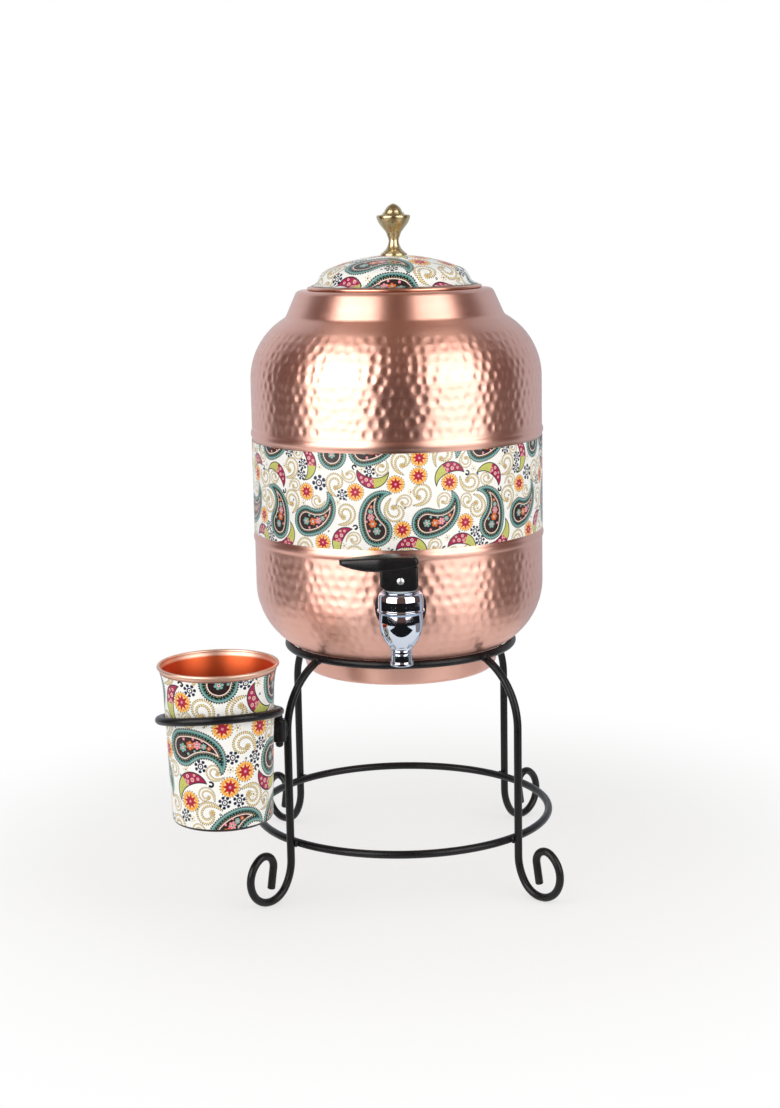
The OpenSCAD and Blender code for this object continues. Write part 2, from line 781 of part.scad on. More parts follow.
module lid_skirt() {
    skirt_r = mouth_r - skirt_gap;
    under = lid_path(lid_t + fix_gap, lid_edge_x);
    color(copper) difference() {
        translate([0, 0, lid_z - skirt_h]) cylinder(r = skirt_r, h = skirt_h + spring_h);
        translate([0, 0, lid_z - skirt_h - cut])
            cylinder(r = skirt_r - lid_t, h = skirt_h + spring_h + 2 * cut);
        rotate_extrude() polygon(concat(under, [[lid_r + cut, finial_z], [screw_hole_r, finial_z]]));
    }
}

finial_z = spring_z + dome_h;
finial_base_h = 1.6;
finial_bevel = 0.8;
finial_neck_h = 8.6;
finial_flare_h = 11;
finial_flare_r = 6;
finial_flare_turn = 55;
finial_bell_turn = 9;
finial_edge_r = 0.9;
finial_curve = 8;
finial_cap_r = 8;
finial_cap_in = 1.9;
finial_cap_turn = 16;
finial_over_turn = 60;

module finial() {
    neck_c = [finial_neck_r + finial_curve, finial_neck_h];
    neck_turn = 180 + acos((neck_c.x - finial_base_r + 2 * finial_bevel) / finial_curve);
    finial_turn = acos(finial_base_r / (crown_r + fix_gap));
    flare_from = [finial_neck_r + finial_flare_r, finial_flare_h];
    flare_end = flare_from + finial_flare_r * unit(180 - finial_flare_turn);
    bell_r = (finial_head_r - flare_end.x) / (cos(finial_bell_turn) - cos(finial_flare_turn));
    bell_c = flare_end - bell_r * unit(-finial_flare_turn);
    edge_c = bell_c + (bell_r - finial_edge_r) * unit(-finial_bell_turn);
    cap_c = [-finial_cap_in, finial_h - sqrt(pow(finial_cap_r, 2) - pow(finial_cap_in, 2))];
    color(brass) translate([0, 0, finial_z]) difference() {
        rotate_extrude() polygon(concat(
            [[0, fix_gap]],
            arc(crown_c - [0, finial_z], crown_r + fix_gap, hole_turn, finial_turn),
            [
                [finial_base_r, finial_base_h - finial_bevel],
                [finial_base_r - finial_bevel, finial_base_h]
            ],
            arc(neck_c, finial_curve, neck_turn, 180),
            arc(flare_from, finial_flare_r, 180, 180 - finial_flare_turn),
            arc(bell_c, bell_r, -finial_flare_turn, -finial_bell_turn),
            arc(edge_c, finial_edge_r, -finial_bell_turn, finial_over_turn),
            arc(cap_c, finial_cap_r, finial_cap_turn, acos(finial_cap_in / finial_cap_r))
        ));
        translate([0, 0, -cut]) cylinder(r = screw_r + fix_gap, h = finial_neck_h + cut);
    }
}

washer_r = 5;
washer_t = 0.8;
washer_top = crown_z(washer_r) - lid_t - fix_gap;
screw_head_r = 3.8;
screw_head_h = 2.4;

module finial_washer() {
    color(steel) translate([0, 0, washer_top - washer_t]) difference() {
        cylinder(r = washer_r, h = washer_t);
        translate([0, 0, -cut]) cylinder(r = screw_hole_r, h = washer_t + 2 * cut);
    }
}

module finial_screw() {
    head_top_z = washer_top - washer_t - fix_gap;
    color(steel) {
        translate([0, 0, head_top_z - screw_head_h]) cylinder(r = screw_head_r, h = screw_head_h);
        translate([0, 0, head_top_z - cut])
            cylinder(r = screw_r, h = finial_z + finial_neck_h - head_top_z);
    }
}

upper_ring();
lower_ring();
leg(leg_angle[0]);  // leg_front_left
leg(leg_angle[1]);  // leg_front_right
leg(leg_angle[2]);  // leg_back_left
leg(leg_angle[3]);  // leg_back_right
holder_sleeve();
holder_wire();
tumbler_cup();
tumbler_print();
lower_shell();
upper_shell();
band_print();
tap_body();
tap_bonnet();
outer_gasket();
inner_gasket();
shank_nut();
slip_washer();
valve_stem();
seat_cup();
lever();
lever_pin();
lid_shell();
lid_skirt();
lid_print();
finial();
finial_washer();
finial_screw();
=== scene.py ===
# %% [markdown]
# # A copper water dispenser on a wire stand
# This lesson dresses a measured model. The model comes packed: every solid stands in its
# place, in metres, with +Z up, the floor at zero and the tap towards -Y. It is loaded first
# and its box is kept, because the dressed object has to stay the size of the measured one.

# %% Load the measured model
import math

import bmesh
import bpy
import numpy as np
from mathutils import Matrix, Vector
from mathutils.geometry import delaunay_2d_cdt
from mathutils.kdtree import KDTree


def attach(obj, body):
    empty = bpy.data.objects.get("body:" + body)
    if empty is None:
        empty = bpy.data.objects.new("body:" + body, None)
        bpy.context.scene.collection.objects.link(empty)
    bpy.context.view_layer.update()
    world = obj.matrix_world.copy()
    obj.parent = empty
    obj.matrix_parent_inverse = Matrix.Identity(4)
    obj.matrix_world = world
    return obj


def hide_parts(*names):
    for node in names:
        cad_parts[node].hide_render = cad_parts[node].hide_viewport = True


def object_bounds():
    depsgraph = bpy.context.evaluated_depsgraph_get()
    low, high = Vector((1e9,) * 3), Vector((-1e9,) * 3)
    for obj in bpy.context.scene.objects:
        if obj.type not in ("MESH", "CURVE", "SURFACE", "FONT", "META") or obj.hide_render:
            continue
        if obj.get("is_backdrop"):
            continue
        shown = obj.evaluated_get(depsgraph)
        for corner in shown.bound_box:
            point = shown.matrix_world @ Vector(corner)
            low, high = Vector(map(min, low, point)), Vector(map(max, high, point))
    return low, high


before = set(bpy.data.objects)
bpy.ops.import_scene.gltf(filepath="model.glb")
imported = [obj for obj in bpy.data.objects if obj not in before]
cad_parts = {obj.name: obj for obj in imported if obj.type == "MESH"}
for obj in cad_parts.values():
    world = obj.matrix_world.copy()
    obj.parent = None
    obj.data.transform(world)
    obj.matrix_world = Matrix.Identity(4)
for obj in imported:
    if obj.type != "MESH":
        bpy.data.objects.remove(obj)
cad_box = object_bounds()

MM = 0.001
scene = bpy.context.scene
scene.view_settings.view_transform = "Standard"

# %% [markdown]
# ## The camera
# The picture was taken with a short telephoto lens, a little above the object's middle and
# looking slightly down. A camera could be placed by eye, but the stand's rings and the pot's
# beads are circles of known size, so their ellipses gave the lens, the height and the tilt.

# %% Camera
LENS_PX, FRAME_H_PX, SENSOR_MM = 1930.2, 1108, 36
CAMERA_AT, LOOK_DOWN, ROLL = (-0.00588, -1.23585, 0.42972), 10.223, -1.034

camera_data = bpy.data.cameras.new("camera")
camera_data.sensor_width = SENSOR_MM
camera_data.lens = SENSOR_MM * LENS_PX / FRAME_H_PX
camera = bpy.data.objects.new("camera", camera_data)
scene.collection.objects.link(camera)
camera.matrix_world = (
    Matrix.Translation(CAMERA_AT)
    @ Matrix.Rotation(math.radians(90 - LOOK_DOWN), 4, "X")
    @ Matrix.Rotation(math.radians(ROLL), 4, "Z")
)
scene.camera = camera
print(f"lens {camera_data.lens:.1f} mm")

# %% [markdown]
# ## Drawing profiles and turning them
# Nearly everything here was spun or turned: pot, lid, tumbler, tap and knob. Blender has a
# Screw modifier for that, but a short function that turns a list of (radius, height) points
# also gives the hammer a regular grid to work on. Profiles are drawn in millimetres from
# arcs, or from corners with a rounding each, as on a workshop drawing.

# %% Profiles
def unit(v):
    return np.asarray(v, float) / np.linalg.norm(v)


def heading(angle):
    """The direction at an angle in degrees."""
    return np.array([math.cos(math.radians(angle)), math.sin(math.radians(angle))])


def arc(centre, radius, start, end, step=3.0):
    """Points on an arc between two angles in degrees."""
    count = max(2, math.ceil(abs(end - start) / step))
    a = np.radians(np.linspace(start, end, count + 1))
    return np.c_[centre[0] + radius * np.cos(a), centre[1] + radius * np.sin(a)]


def rounded(corners, step=9.0):
    """A profile through (r, z, rounding) corners, each one rounded by its arc."""
    out = [np.array([corners[0][:2]], float)]
    for before, here, after in zip(corners, corners[1:], corners[2:]):
        p = np.array(here[:2], float)
        a, b = unit(np.array(before[:2]) - p), unit(np.array(after[:2]) - p)
        half = math.acos(float(np.clip(a @ b, -1, 1))) / 2
        if here[2] <= 0 or half > math.radians(89.5):
            out.append(p[None])
            continue
        centre = p + unit(a + b) * here[2] / math.sin(half)
        ends = [p + d * here[2] / math.tan(half) - centre for d in (a, b)]
        start, end = (math.degrees(math.atan2(e[1], e[0])) for e in ends)
        end += 360 * round((start - end) / 360)
        out.append(arc(centre, here[2], start, end, step))
    out.append(np.array([corners[-1][:2]], float))
    return np.concatenate(out)


def even(profile, spacing, low=-math.inf, high=math.inf, coarse=8.0):
    """The same profile with points at most this far apart, or coarser outside two heights."""
    out = [profile[:1]]
    for a, b in zip(profile, profile[1:]):
        fine = max(a[1], b[1]) > low and min(a[1], b[1]) < high
        n = max(1, math.ceil(np.linalg.norm(b - a) / (spacing if fine else coarse)))
        out.append(a + (b - a) * np.arange(1, n + 1)[:, None] / n)
    return np.concatenate(out)


print("points on a quarter of an arc:", len(arc((0, 0), 10, 0, 90)))

# %% [markdown]
# A turned piece is its profile repeated round the axis, with a square between neighbours. One
# function then makes every mesh of this lesson a piece: it closes tiny seams, shades it smooth
# except at sharp corners, and lets it ride on the body that it moves with.

# %% Turned pieces
def grid_faces(rows, columns, loop_rows=False):
    """Quads between the rows of a grid whose columns go all the way round."""
    i = np.arange(rows if loop_rows else rows - 1)[:, None]
    j = np.arange(columns)[None]
    k, n = (i + 1) % rows, (j + 1) % columns
    quads = [i * columns + j, i * columns + n, k * columns + n, k * columns + j]
    return np.stack(quads, -1).reshape(-1, 4)


def turned(profile, segments=128, centre=(0, 0, 0), loop=False):
    """Turns a profile about an upright axis: vertices in millimetres, and faces."""
    a = 2 * np.pi * np.arange(segments) / segments
    ring = np.c_[np.cos(a), np.sin(a)]
    verts = np.empty((len(profile), segments, 3))
    verts[:, :, :2] = profile[:, None, :1] * ring[None]
    verts[:, :, 2] = profile[:, None, 1]
    return verts.reshape(-1, 3) + centre, grid_faces(len(profile), segments, loop)


WELD, SHARP_ANGLE = 1e-6, math.radians(40)


def add_piece(name, verts, faces, body, finish, stands_for=(), slot=None):
    """Makes a smooth mesh of millimetre points, rides it on a body and gives it its finish."""
    mesh = bpy.data.meshes.new(name)
    mesh.from_pydata((np.asarray(verts) * MM).tolist(), [], [list(map(int, f)) for f in faces])
    bm = bmesh.new()
    bm.from_mesh(mesh)
    bmesh.ops.remove_doubles(bm, verts=bm.verts, dist=WELD)
    bmesh.ops.dissolve_degenerate(bm, edges=bm.edges, dist=WELD)
    bmesh.ops.recalc_face_normals(bm, faces=bm.faces)
    bm.to_mesh(mesh)
    bm.free()
    mesh.shade_smooth()
    mesh.set_sharp_from_angle(angle=SHARP_ANGLE)
    mesh.materials.append(finish)
    obj = bpy.data.objects.new(name, mesh)
    scene.collection.objects.link(obj)
    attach(obj, body)
    if stands_for:
        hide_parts(*stands_for)
    print(f"{name}: {len(mesh.vertices)} points, {len(mesh.polygons)} faces, on {body}")
    return obj


print("faces of a turned test cup:", len(turned(arc((0, 0), 10, -90, 0), 8)[1]))

# %% [markdown]
# ## Finishes
# Every finish is a small node tree: one Principled shader, with noise that is read in the
# object's own coordinates, so a scratch stays where it is when the piece moves. Values that
# are the same all over are typed on the shader itself, and only what varies is wired in.

# %% A finish and its noise
def srgb(r, g, b):
    """A colour read off a swatch, 0 to 255, as the linear light that Blender works in."""
    c = np.array([r, g, b]) / 255
    return tuple(np.where(c < 0.04045, c / 12.92, ((c + 0.055) / 1.055) ** 2.4)) + (1.0,)


class Finish:
    """A Principled material with helpers for the few nodes that these finishes use."""

    def __init__(self, name, **values):
        self.material = bpy.data.materials.new(name)
        self.material.use_nodes = True
        self.nodes, self.links = self.material.node_tree.nodes, self.material.node_tree.links
        self.shader = next(n for n in self.nodes if n.type == "BSDF_PRINCIPLED")
        for key, value in values.items():
            self.shader.inputs[key.replace("_", " ")].default_value = value
        self.place = self.nodes.new("ShaderNodeTexCoord").outputs["Object"]

    def wire(self, output, name):
        self.links.new(output, self.shader.inputs[name])

    def noise(self, scale, detail, roughness=0.55):
        """Noise whose scale is in waves per metre, along each axis."""
        stretch = self.nodes.new("ShaderNodeVectorMath")
        stretch.operation = "MULTIPLY"
        stretch.inputs[1].default_value = scale
        self.links.new(self.place, stretch.inputs[0])
        texture = self.nodes.new("ShaderNodeTexNoise")
        for name, number in (("Scale", 1), ("Detail", detail), ("Roughness", roughness)):
            texture.inputs[name].default_value = number
        self.links.new(stretch.outputs[0], texture.inputs["Vector"])
        return texture.outputs["Fac"]

    def between(self, value, low, high, start=0.3, end=0.7):
        """Moves a noise value to a range of numbers."""
        node = self.nodes.new("ShaderNodeMapRange")
        for name, number in (("From Min", start), ("From Max", end), ("To Min", low), ("To Max", high)):
            node.inputs[name].default_value = number
        self.links.new(value, node.inputs["Value"])
        return node.outputs["Result"]

    def blend(self, value, first, second, mode="MIX"):
        """Mixes two colours by a value. A colour may be wired or typed."""
        node = self.nodes.new("ShaderNodeMix")
        node.data_type, node.blend_type = "RGBA", mode
        sockets = {"Factor": node.inputs[0], "A": node.inputs[6], "B": node.inputs[7]}
        for socket, given in (("Factor", value), ("A", first), ("B", second)):
            if isinstance(given, bpy.types.NodeSocket):
                self.links.new(given, sockets[socket])
            else:
                sockets[socket].default_value = given
        return node.outputs[2]

    def bump(self, height, depth):
        """Raises the surface by a value times a depth in metres."""
        node = self.nodes.new("ShaderNodeBump")
        node.inputs["Distance"].default_value = depth
        self.links.new(height, node.inputs["Height"])
        self.wire(node.outputs["Normal"], "Normal")


print(f"half grey is {srgb(128, 128, 128)[0]:.3f} in linear light")

# %% [markdown]
# ## Copper, brass and chrome
# The pot is spun and then rubbed with a fine pad as it turns. The rubbing leaves scratches
# that run round it, and scratches spread a reflection across their own direction: that is why
# the lamps show as tall bands. An anisotropic shader does this without modelling a scratch.

# %% Metals
def spun_metal(name, light, dark, rough, spread, grain, edges=(), **more):
    """Rubbed metal, cloudy and lined. An edge gives another colour from one height to another, used on the
    tumbler to paint a sheen at the lip and shade at the foot.
    """
    finish = Finish(name, Metallic=1.0, Anisotropic=spread, Anisotropic_Rotation=0.25, **more)
    cloud = finish.noise((9, 9, 14), 4)
    lines = finish.noise((14, 14, 1500), 4, 0.7)
    colour = finish.blend(finish.between(cloud, 0, 1), light, dark)
    height = finish.nodes.new("ShaderNodeSeparateXYZ") if edges else None
    for start, full, edge_colour in edges:
        finish.links.new(finish.place, height.inputs[0])
        share = finish.between(height.outputs["Z"], 0, 1, start, full)
        colour = finish.blend(share, colour, edge_colour)
    finish.wire(colour, "Base Color")
    finish.wire(finish.between(lines, rough - 0.05, rough + 0.06), "Roughness")
    finish.bump(lines, grain)
    return finish.material


pot_copper = spun_metal("pot_copper", srgb(243, 194, 179), srgb(234, 180, 163), 0.38, 0.8, 0.00001)
tumbler_copper = spun_metal(
    "tumbler_copper", srgb(214, 102, 60), srgb(200, 90, 51), 0.48, 0.4, 0.000006,
    # First band: the lip painted paler, partly its own paler copper and partly a painted sheen. Second band:
    # the foot painted dark brown as painted shade.
    edges=((0.1585, 0.1597, srgb(242, 204, 184)), (0.0668, 0.0664, srgb(70, 46, 38))),
)
lid_copper = spun_metal("lid_copper", srgb(240, 192, 170), srgb(226, 170, 146), 0.3, 0.5, 0.000006)
finial_brass = spun_metal("finial_brass", srgb(220, 206, 168), srgb(184, 166, 122), 0.3, 0.3, 0.000003)
tap_chrome = spun_metal(
    "tap_chrome", srgb(214, 222, 236), srgb(206, 214, 229), 0.05, 0.0, 0.0,
    Specular_Tint=(0.66, 0.84, 1.0, 1),
)
pin_steel = spun_metal("pin_steel", srgb(226, 228, 232), srgb(206, 208, 213), 0.42, 0.2, 0.000004)
print("metals:", [m.name for m in bpy.data.materials])

# %% [markdown]
# ## Paint, plastic, rubber and silicone
# Powder coat melts into a skin with a very fine orange peel, rubber keeps the grain of its
# mould, and silicone lets a little light in. Each could have a tree of its own, but one function
# serves all four: a cloudy colour, and a peel that drives both the gloss and the bump.

# %% Black and white finishes
def moulded(name, light, dark, rough, peel_scale, peel_depth, **more):
    finish = Finish(name, **more)
    cloud = finish.noise((60, 60, 60), 3)
    peel = finish.noise((peel_scale,) * 3, 2)
    finish.wire(finish.blend(finish.between(cloud, 0, 1), light, dark), "Base Color")
    finish.wire(finish.between(peel, rough - 0.06, rough + 0.08), "Roughness")
    finish.bump(peel, peel_depth)
    return finish.material


stand_paint = moulded(
    "stand_paint", srgb(25, 25, 28), srgb(18, 18, 21), 0.3, 260, 0.00001, Specular_IOR_Level=0.25
)
lever_plastic = moulded(
    "lever_plastic", srgb(24, 24, 26), srgb(18, 18, 20), 0.3, 260, 0.00004,
    Specular_IOR_Level=0.35, Coat_Weight=0.1,
)
black_rubber = moulded("black_rubber", srgb(24, 24, 25), srgb(30, 30, 31), 0.62, 900, 0.0001)
white_silicone = moulded(
    "white_silicone", srgb(222, 224, 220), srgb(212, 215, 210), 0.5, 500, 0.00003, Subsurface_Weight=0.2
)
print("finishes:", len(bpy.data.materials))

# %% [markdown]
# ## The studio
# The object stands on a white table in a white room. A room could be a picture wrapped round the
# scene, but here it is one even white, which lights the object at a plain level. A ray that
# comes straight from the camera, or by way of metal, sees the room at full white.

# %% Room
def node_between(tree, kind, links=(), **inputs):
    node = tree.nodes.new(kind)
    for name, value in inputs.items():
        node.inputs[name.replace("_", " ")].default_value = value
    for output, name in links:
        tree.links.new(output, node.inputs[name])
    return node


def seen_directly(tree):
    """1 for rays that the camera, metal or glass sees, and 0 for light that lands on a surface."""
    path = tree.nodes.new("ShaderNodeLightPath")
    total = None
    for name in ("Is Camera Ray", "Is Glossy Ray", "Is Transmission Ray"):
        if total is None:
            total = path.outputs[name]
            continue
        add = tree.nodes.new("ShaderNodeMath")
        add.operation, add.use_clamp = "ADD", True
        tree.links.new(total, add.inputs[0])
        tree.links.new(path.outputs[name], add.inputs[1])
        total = add.outputs[0]
    return total


ROOM_LIGHT = 0.55
world = bpy.data.worlds.new("room")
world.use_nodes = True
scene.world = world
room = world.node_tree
room.nodes.clear()
level = node_between(
    room, "ShaderNodeMapRange", [(seen_directly(room), "Value")], To_Min=ROOM_LIGHT, To_Max=1.0
)
light = node_between(room, "ShaderNodeBackground", [(level.outputs[0], "Strength")], Color=(1, 1, 1, 1))
node_between(room, "ShaderNodeOutputWorld", [(light.outputs[0], "Surface")])
print("light of the room on a surface:", ROOM_LIGHT)

# %% [markdown]
# The table is a white disc. Near the object it is matt and takes the shadow. Farther out it
# fades into plain white, so that no edge of the table shows in the picture.

# %% Table
def stage_sheet(name, points, faces, material):
    mesh = bpy.data.meshes.new(name)
    mesh.from_pydata([tuple(p) for p in points], [], faces)
    mesh.materials.append(material)
    obj = bpy.data.objects.new(name, mesh)
    scene.collection.objects.link(obj)
    obj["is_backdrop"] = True
    return obj


def bare_material(name):
    material = bpy.data.materials.new(name)
    material.use_nodes = True
    tree = material.node_tree
    tree.nodes.clear()
    return material, tree, tree.nodes.new("ShaderNodeOutputMaterial")


TABLE_R, TABLE_SIDES, FADE_NEAR, FADE_FAR, FADE_FROM = 0.75, 96, 0.16, 0.42, 0.62
table_white, tree, out = bare_material("table_white")
cover = node_between(tree, "ShaderNodeBsdfDiffuse", Color=(0.9, 0.9, 0.9, 1))
bright = node_between(tree, "ShaderNodeEmission", Color=(1, 1, 1, 1), Strength=1.0)
place = tree.nodes.new("ShaderNodeTexCoord")
far = node_between(tree, "ShaderNodeVectorMath", [(place.outputs["Object"], 0)])
far.operation = "LENGTH"
fade = node_between(
    tree, "ShaderNodeMapRange", [(far.outputs["Value"], "Value")],
    From_Min=FADE_NEAR, From_Max=FADE_FAR, To_Min=FADE_FROM, To_Max=1.0,
)
fade.interpolation_type = "SMOOTHSTEP"
seen = node_between(tree, "ShaderNodeMath", [(fade.outputs[0], 0), (seen_directly(tree), 1)])
seen.operation = "MULTIPLY"
mix = node_between(
    tree, "ShaderNodeMixShader", [(seen.outputs[0], "Fac"), (cover.outputs[0], 1), (bright.outputs[0], 2)]
)
tree.links.new(mix.outputs[0], out.inputs["Surface"])
turns = np.linspace(0, 2 * np.pi, TABLE_SIDES + 1)[:-1]
table_edge = [(TABLE_R * math.cos(a), TABLE_R * math.sin(a), 0) for a in turns]
stage_sheet("table", table_edge, [list(range(TABLE_SIDES))], table_white)
print("table:", 2 * TABLE_R, "m across")

# %% [markdown]
# Two tall soft lamps stand to the sides of the camera. Polished metal shows whatever stands
# round it, so the lamps draw the cream bands on the copper. A lamp that is bright enough to
# shine in copper would burn out the white print, and so its front has two levels: one for the
# light that it gives, and one for how it shows in metal.

# %% Lamps
SHEET_STEPS = 24


def bent_sheet(name, low_edge, high_edge, start, end, material):
    """A sheet between two (distance, height) edges, from one bearing to another.

    Bearing 0 is towards the camera, and + is to the right."""
    a = np.radians(np.linspace(start, end, SHEET_STEPS + 1))
    points = [(r * math.sin(t), -r * math.cos(t), z) for r, z in (low_edge, high_edge) for t in a]
    above = SHEET_STEPS + 1
    faces = [[i, i + 1, i + 1 + above, i + above] for i in range(SHEET_STEPS)]
    return stage_sheet(name, points, faces, material)


def glowing(name, colour, level=1.0, level_in_metal=1.0):
    """A cloth that gives one level of light to matt surfaces and shows another in polished ones."""
    material, tree, out = bare_material(name)
    level = node_between(
        tree, "ShaderNodeMapRange", [(seen_directly(tree), "Value")], To_Min=level, To_Max=level_in_metal
    )
    glow = node_between(tree, "ShaderNodeEmission", [(level.outputs[0], "Strength")], Color=colour)
    tree.links.new(glow.outputs[0], out.inputs["Surface"])
    return material


LAMP_COLOUR, LAMP_LEVEL = (1.0, 0.975, 0.94, 1), 2.3
LAMP_R, LAMP_LOW, LAMP_HIGH = 1.0, 0.12, 1.35
for name, start, end, in_metal in (("lamp_left", -70, -19, 4.6), ("lamp_right", 22, 68, 3.6)):
    soft_white = glowing(name, LAMP_COLOUR, LAMP_LEVEL, in_metal)
    front = bent_sheet(name, (LAMP_R, LAMP_LOW), (LAMP_R, LAMP_HIGH), start, end, soft_white)
    front.visible_camera = False
    print(f"{name}: {end - start} degrees wide")

# %% [markdown]
# Cloth hangs behind the lamps: brown at the height of the pot, black low down, and pale walls
# behind the object. More cloth lies on the table, and a brown one hangs overhead. Without them
# the copper would show an even white and look like plastic. They show in metal alone, so the
# camera, the light and the shadows know nothing of them.

# %% Cloth
DRAPE_R, OVER_TABLE, FLOOR_NEAR = 1.08, 0.002, 0.32
LEFT_END, RIGHT_END, BEHIND = -114, 108, 175
BROWN, BLACK, GREY = (0.15, 0.08, 0.066, 1), (0.012, 0.012, 0.013, 1), (0.3, 0.27, 0.26, 1)
CEILING, PALE_LEFT, PALE_RIGHT = (0.26, 0.18, 0.14, 1), (0.7, 0.74, 0.8, 1), (0.56, 0.6, 0.66, 1)


def flat_sheet(name, left, right, front, back, z, material):
    corners = [(left, front, z), (right, front, z), (right, back, z), (left, back, z)]
    return stage_sheet(name, corners, [[0, 1, 2, 3]], material)


drapes = []
for name, colour, start, end, low, high in (
    ("brown_cloth", BROWN, LEFT_END, RIGHT_END, 0.1, 1.6),
    ("black_cloth", BLACK, LEFT_END, RIGHT_END, -0.6, 0.1),
    ("pale_wall_left", PALE_LEFT, -BEHIND, LEFT_END, 0.0, 1.6),
    ("pale_wall_right", PALE_RIGHT, RIGHT_END, BEHIND, 0.0, 1.6),
):
    drapes.append(bent_sheet(name, (DRAPE_R, low), (DRAPE_R, high), start, end, glowing(name, colour)))
drapes.append(flat_sheet("ceiling", -1.6, 1.6, -1.6, 1.0, 1.75, glowing("ceiling", CEILING)))
black = bpy.data.materials["black_cloth"]
drapes.append(flat_sheet("black_apron", -0.34, 0.34, -1.05, -0.27, OVER_TABLE, black))
for name, colour, start, end in (
    ("grey_floor_right", GREY, 70, RIGHT_END),
    ("pale_floor_left", PALE_LEFT, -BEHIND, LEFT_END),
    ("pale_floor_right", PALE_RIGHT, RIGHT_END, BEHIND),
):
    near, far = (FLOOR_NEAR, OVER_TABLE), (DRAPE_R, OVER_TABLE)
    drapes.append(bent_sheet(name, near, far, start, end, glowing(name, colour)))
for drape in drapes:
    drape.visible_camera = drape.visible_diffuse = drape.visible_shadow = False
print("drapes:", [drape.name for drape in drapes])

# %% [markdown]
# ## The pot's two shells
# Each half is spun from sheet: a straight wall, a wide bend, a hollow fillet and a leaning
# collar. The two halves are brazed together under the printed band. Their profiles are drawn
# here with the measured sizes, a good deal finer than a solid model needs.

# %% Pot profiles
POT_R, BEND_R, SHEET = 93.0, 45.0, 1.0
BOWL_Z, SHOULDER_Z, SEAM_Z = 190.741, 321.741, 254.741
LOW_BEAD_Z, HIGH_BEAD_Z, BEAD_W, BEAD_OUT = 221.741, 288.241, 5.0, 0.8
NECK_R, NECK_H, NECK_LEAN, NECK_FILLET, RIM_ROUND, MOUTH_R = 62.2, 56.2, 24, 5, 4, 52.0
FOOT_R, FOOT_H, FOOT_LEAN, FOOT_FILLET, FOOT_ROUND = 61.4, 56.7, 15, 3, 3.5
BEND_IN = POT_R - BEND_R


def end_profile(inset, tip_r, tip_h, lean, fillet, rounding, inner_r):
    """From the bend to the end of a shell, in heights above the bend's centre."""
    n = heading(lean)
    k = n @ (tip_r, tip_h)
    turn = lean + math.degrees(math.acos((k + fillet - n[0] * BEND_IN) / (BEND_R + fillet)))
    fillet_c = np.array([BEND_IN, 0]) + (BEND_R + fillet) * heading(turn)
    round_y = tip_h - rounding
    round_c = ((k - rounding - n[1] * round_y) / n[0], round_y)
    return np.concatenate([
        arc((BEND_IN, 0), BEND_R - inset, 0, turn, 1.25),
        arc(fillet_c, fillet + inset, turn + 180, lean + 180, 7),
        arc(round_c, rounding - inset, lean, 90, 9),
        [(inner_r, tip_h - inset)],
    ])


def bead_profile(z, inset):
    r = ((BEAD_W / 2) ** 2 + BEAD_OUT ** 2) / (2 * BEAD_OUT)
    half = math.degrees(math.acos((r - BEAD_OUT - inset) / (r - inset)))
    return arc((POT_R + BEAD_OUT - r, z), r - inset, -half, half, 8)


def upper_profile(inset):
    end = end_profile(inset, NECK_R, NECK_H, NECK_LEAN, NECK_FILLET, RIM_ROUND, MOUTH_R)
    bead = bead_profile(HIGH_BEAD_Z, inset)
    return np.concatenate([[(POT_R - inset, SEAM_Z)], bead, end + (0, SHOULDER_Z)])


def lower_profile(inset):
    end = end_profile(inset, FOOT_R, FOOT_H, FOOT_LEAN, FOOT_FILLET, FOOT_ROUND, 0.0)
    bead = bead_profile(LOW_BEAD_Z, inset)[::-1]
    return np.concatenate([[(POT_R - inset, SEAM_Z)], bead, end * (1, -1) + (0, BOWL_Z)])


print("points on the pot's profiles:", len(upper_profile(0)), len(lower_profile(0)))

# %% [markdown]
# ## Hammering
# The dimples are the pot's character, so they are real geometry. Each blow of the round
# hammer leaves a shallow cup about 6 mm wide. A noise texture would give waves and not cups,
# so the blows are laid in staggered rows with a little unsteadiness, and every point of a
# fine grid is pushed in by the cup that lies nearest to it.

# %% Hammer blows
BLOW_PITCH, BLOW_R, BLOW_DEPTH, CUP_POWER = 7.1, 3.15, 0.31, 1.2
ROW_PITCH = BLOW_PITCH * 0.9
UNSTEADY_ALONG, UNSTEADY_ACROSS = 0.2, 0.7
CUP_SIZES, CUP_DEPTHS = (0.86, 1.1), (0.6, 1.15)
AROUND, FINE_STEP, LINING_STEP = 640, 1.0, 6.0
UPPER_HAMMERED, UPPER_SEED, LOWER_HAMMERED, LOWER_SEED = (292, 356), 11, (154, 217), 12


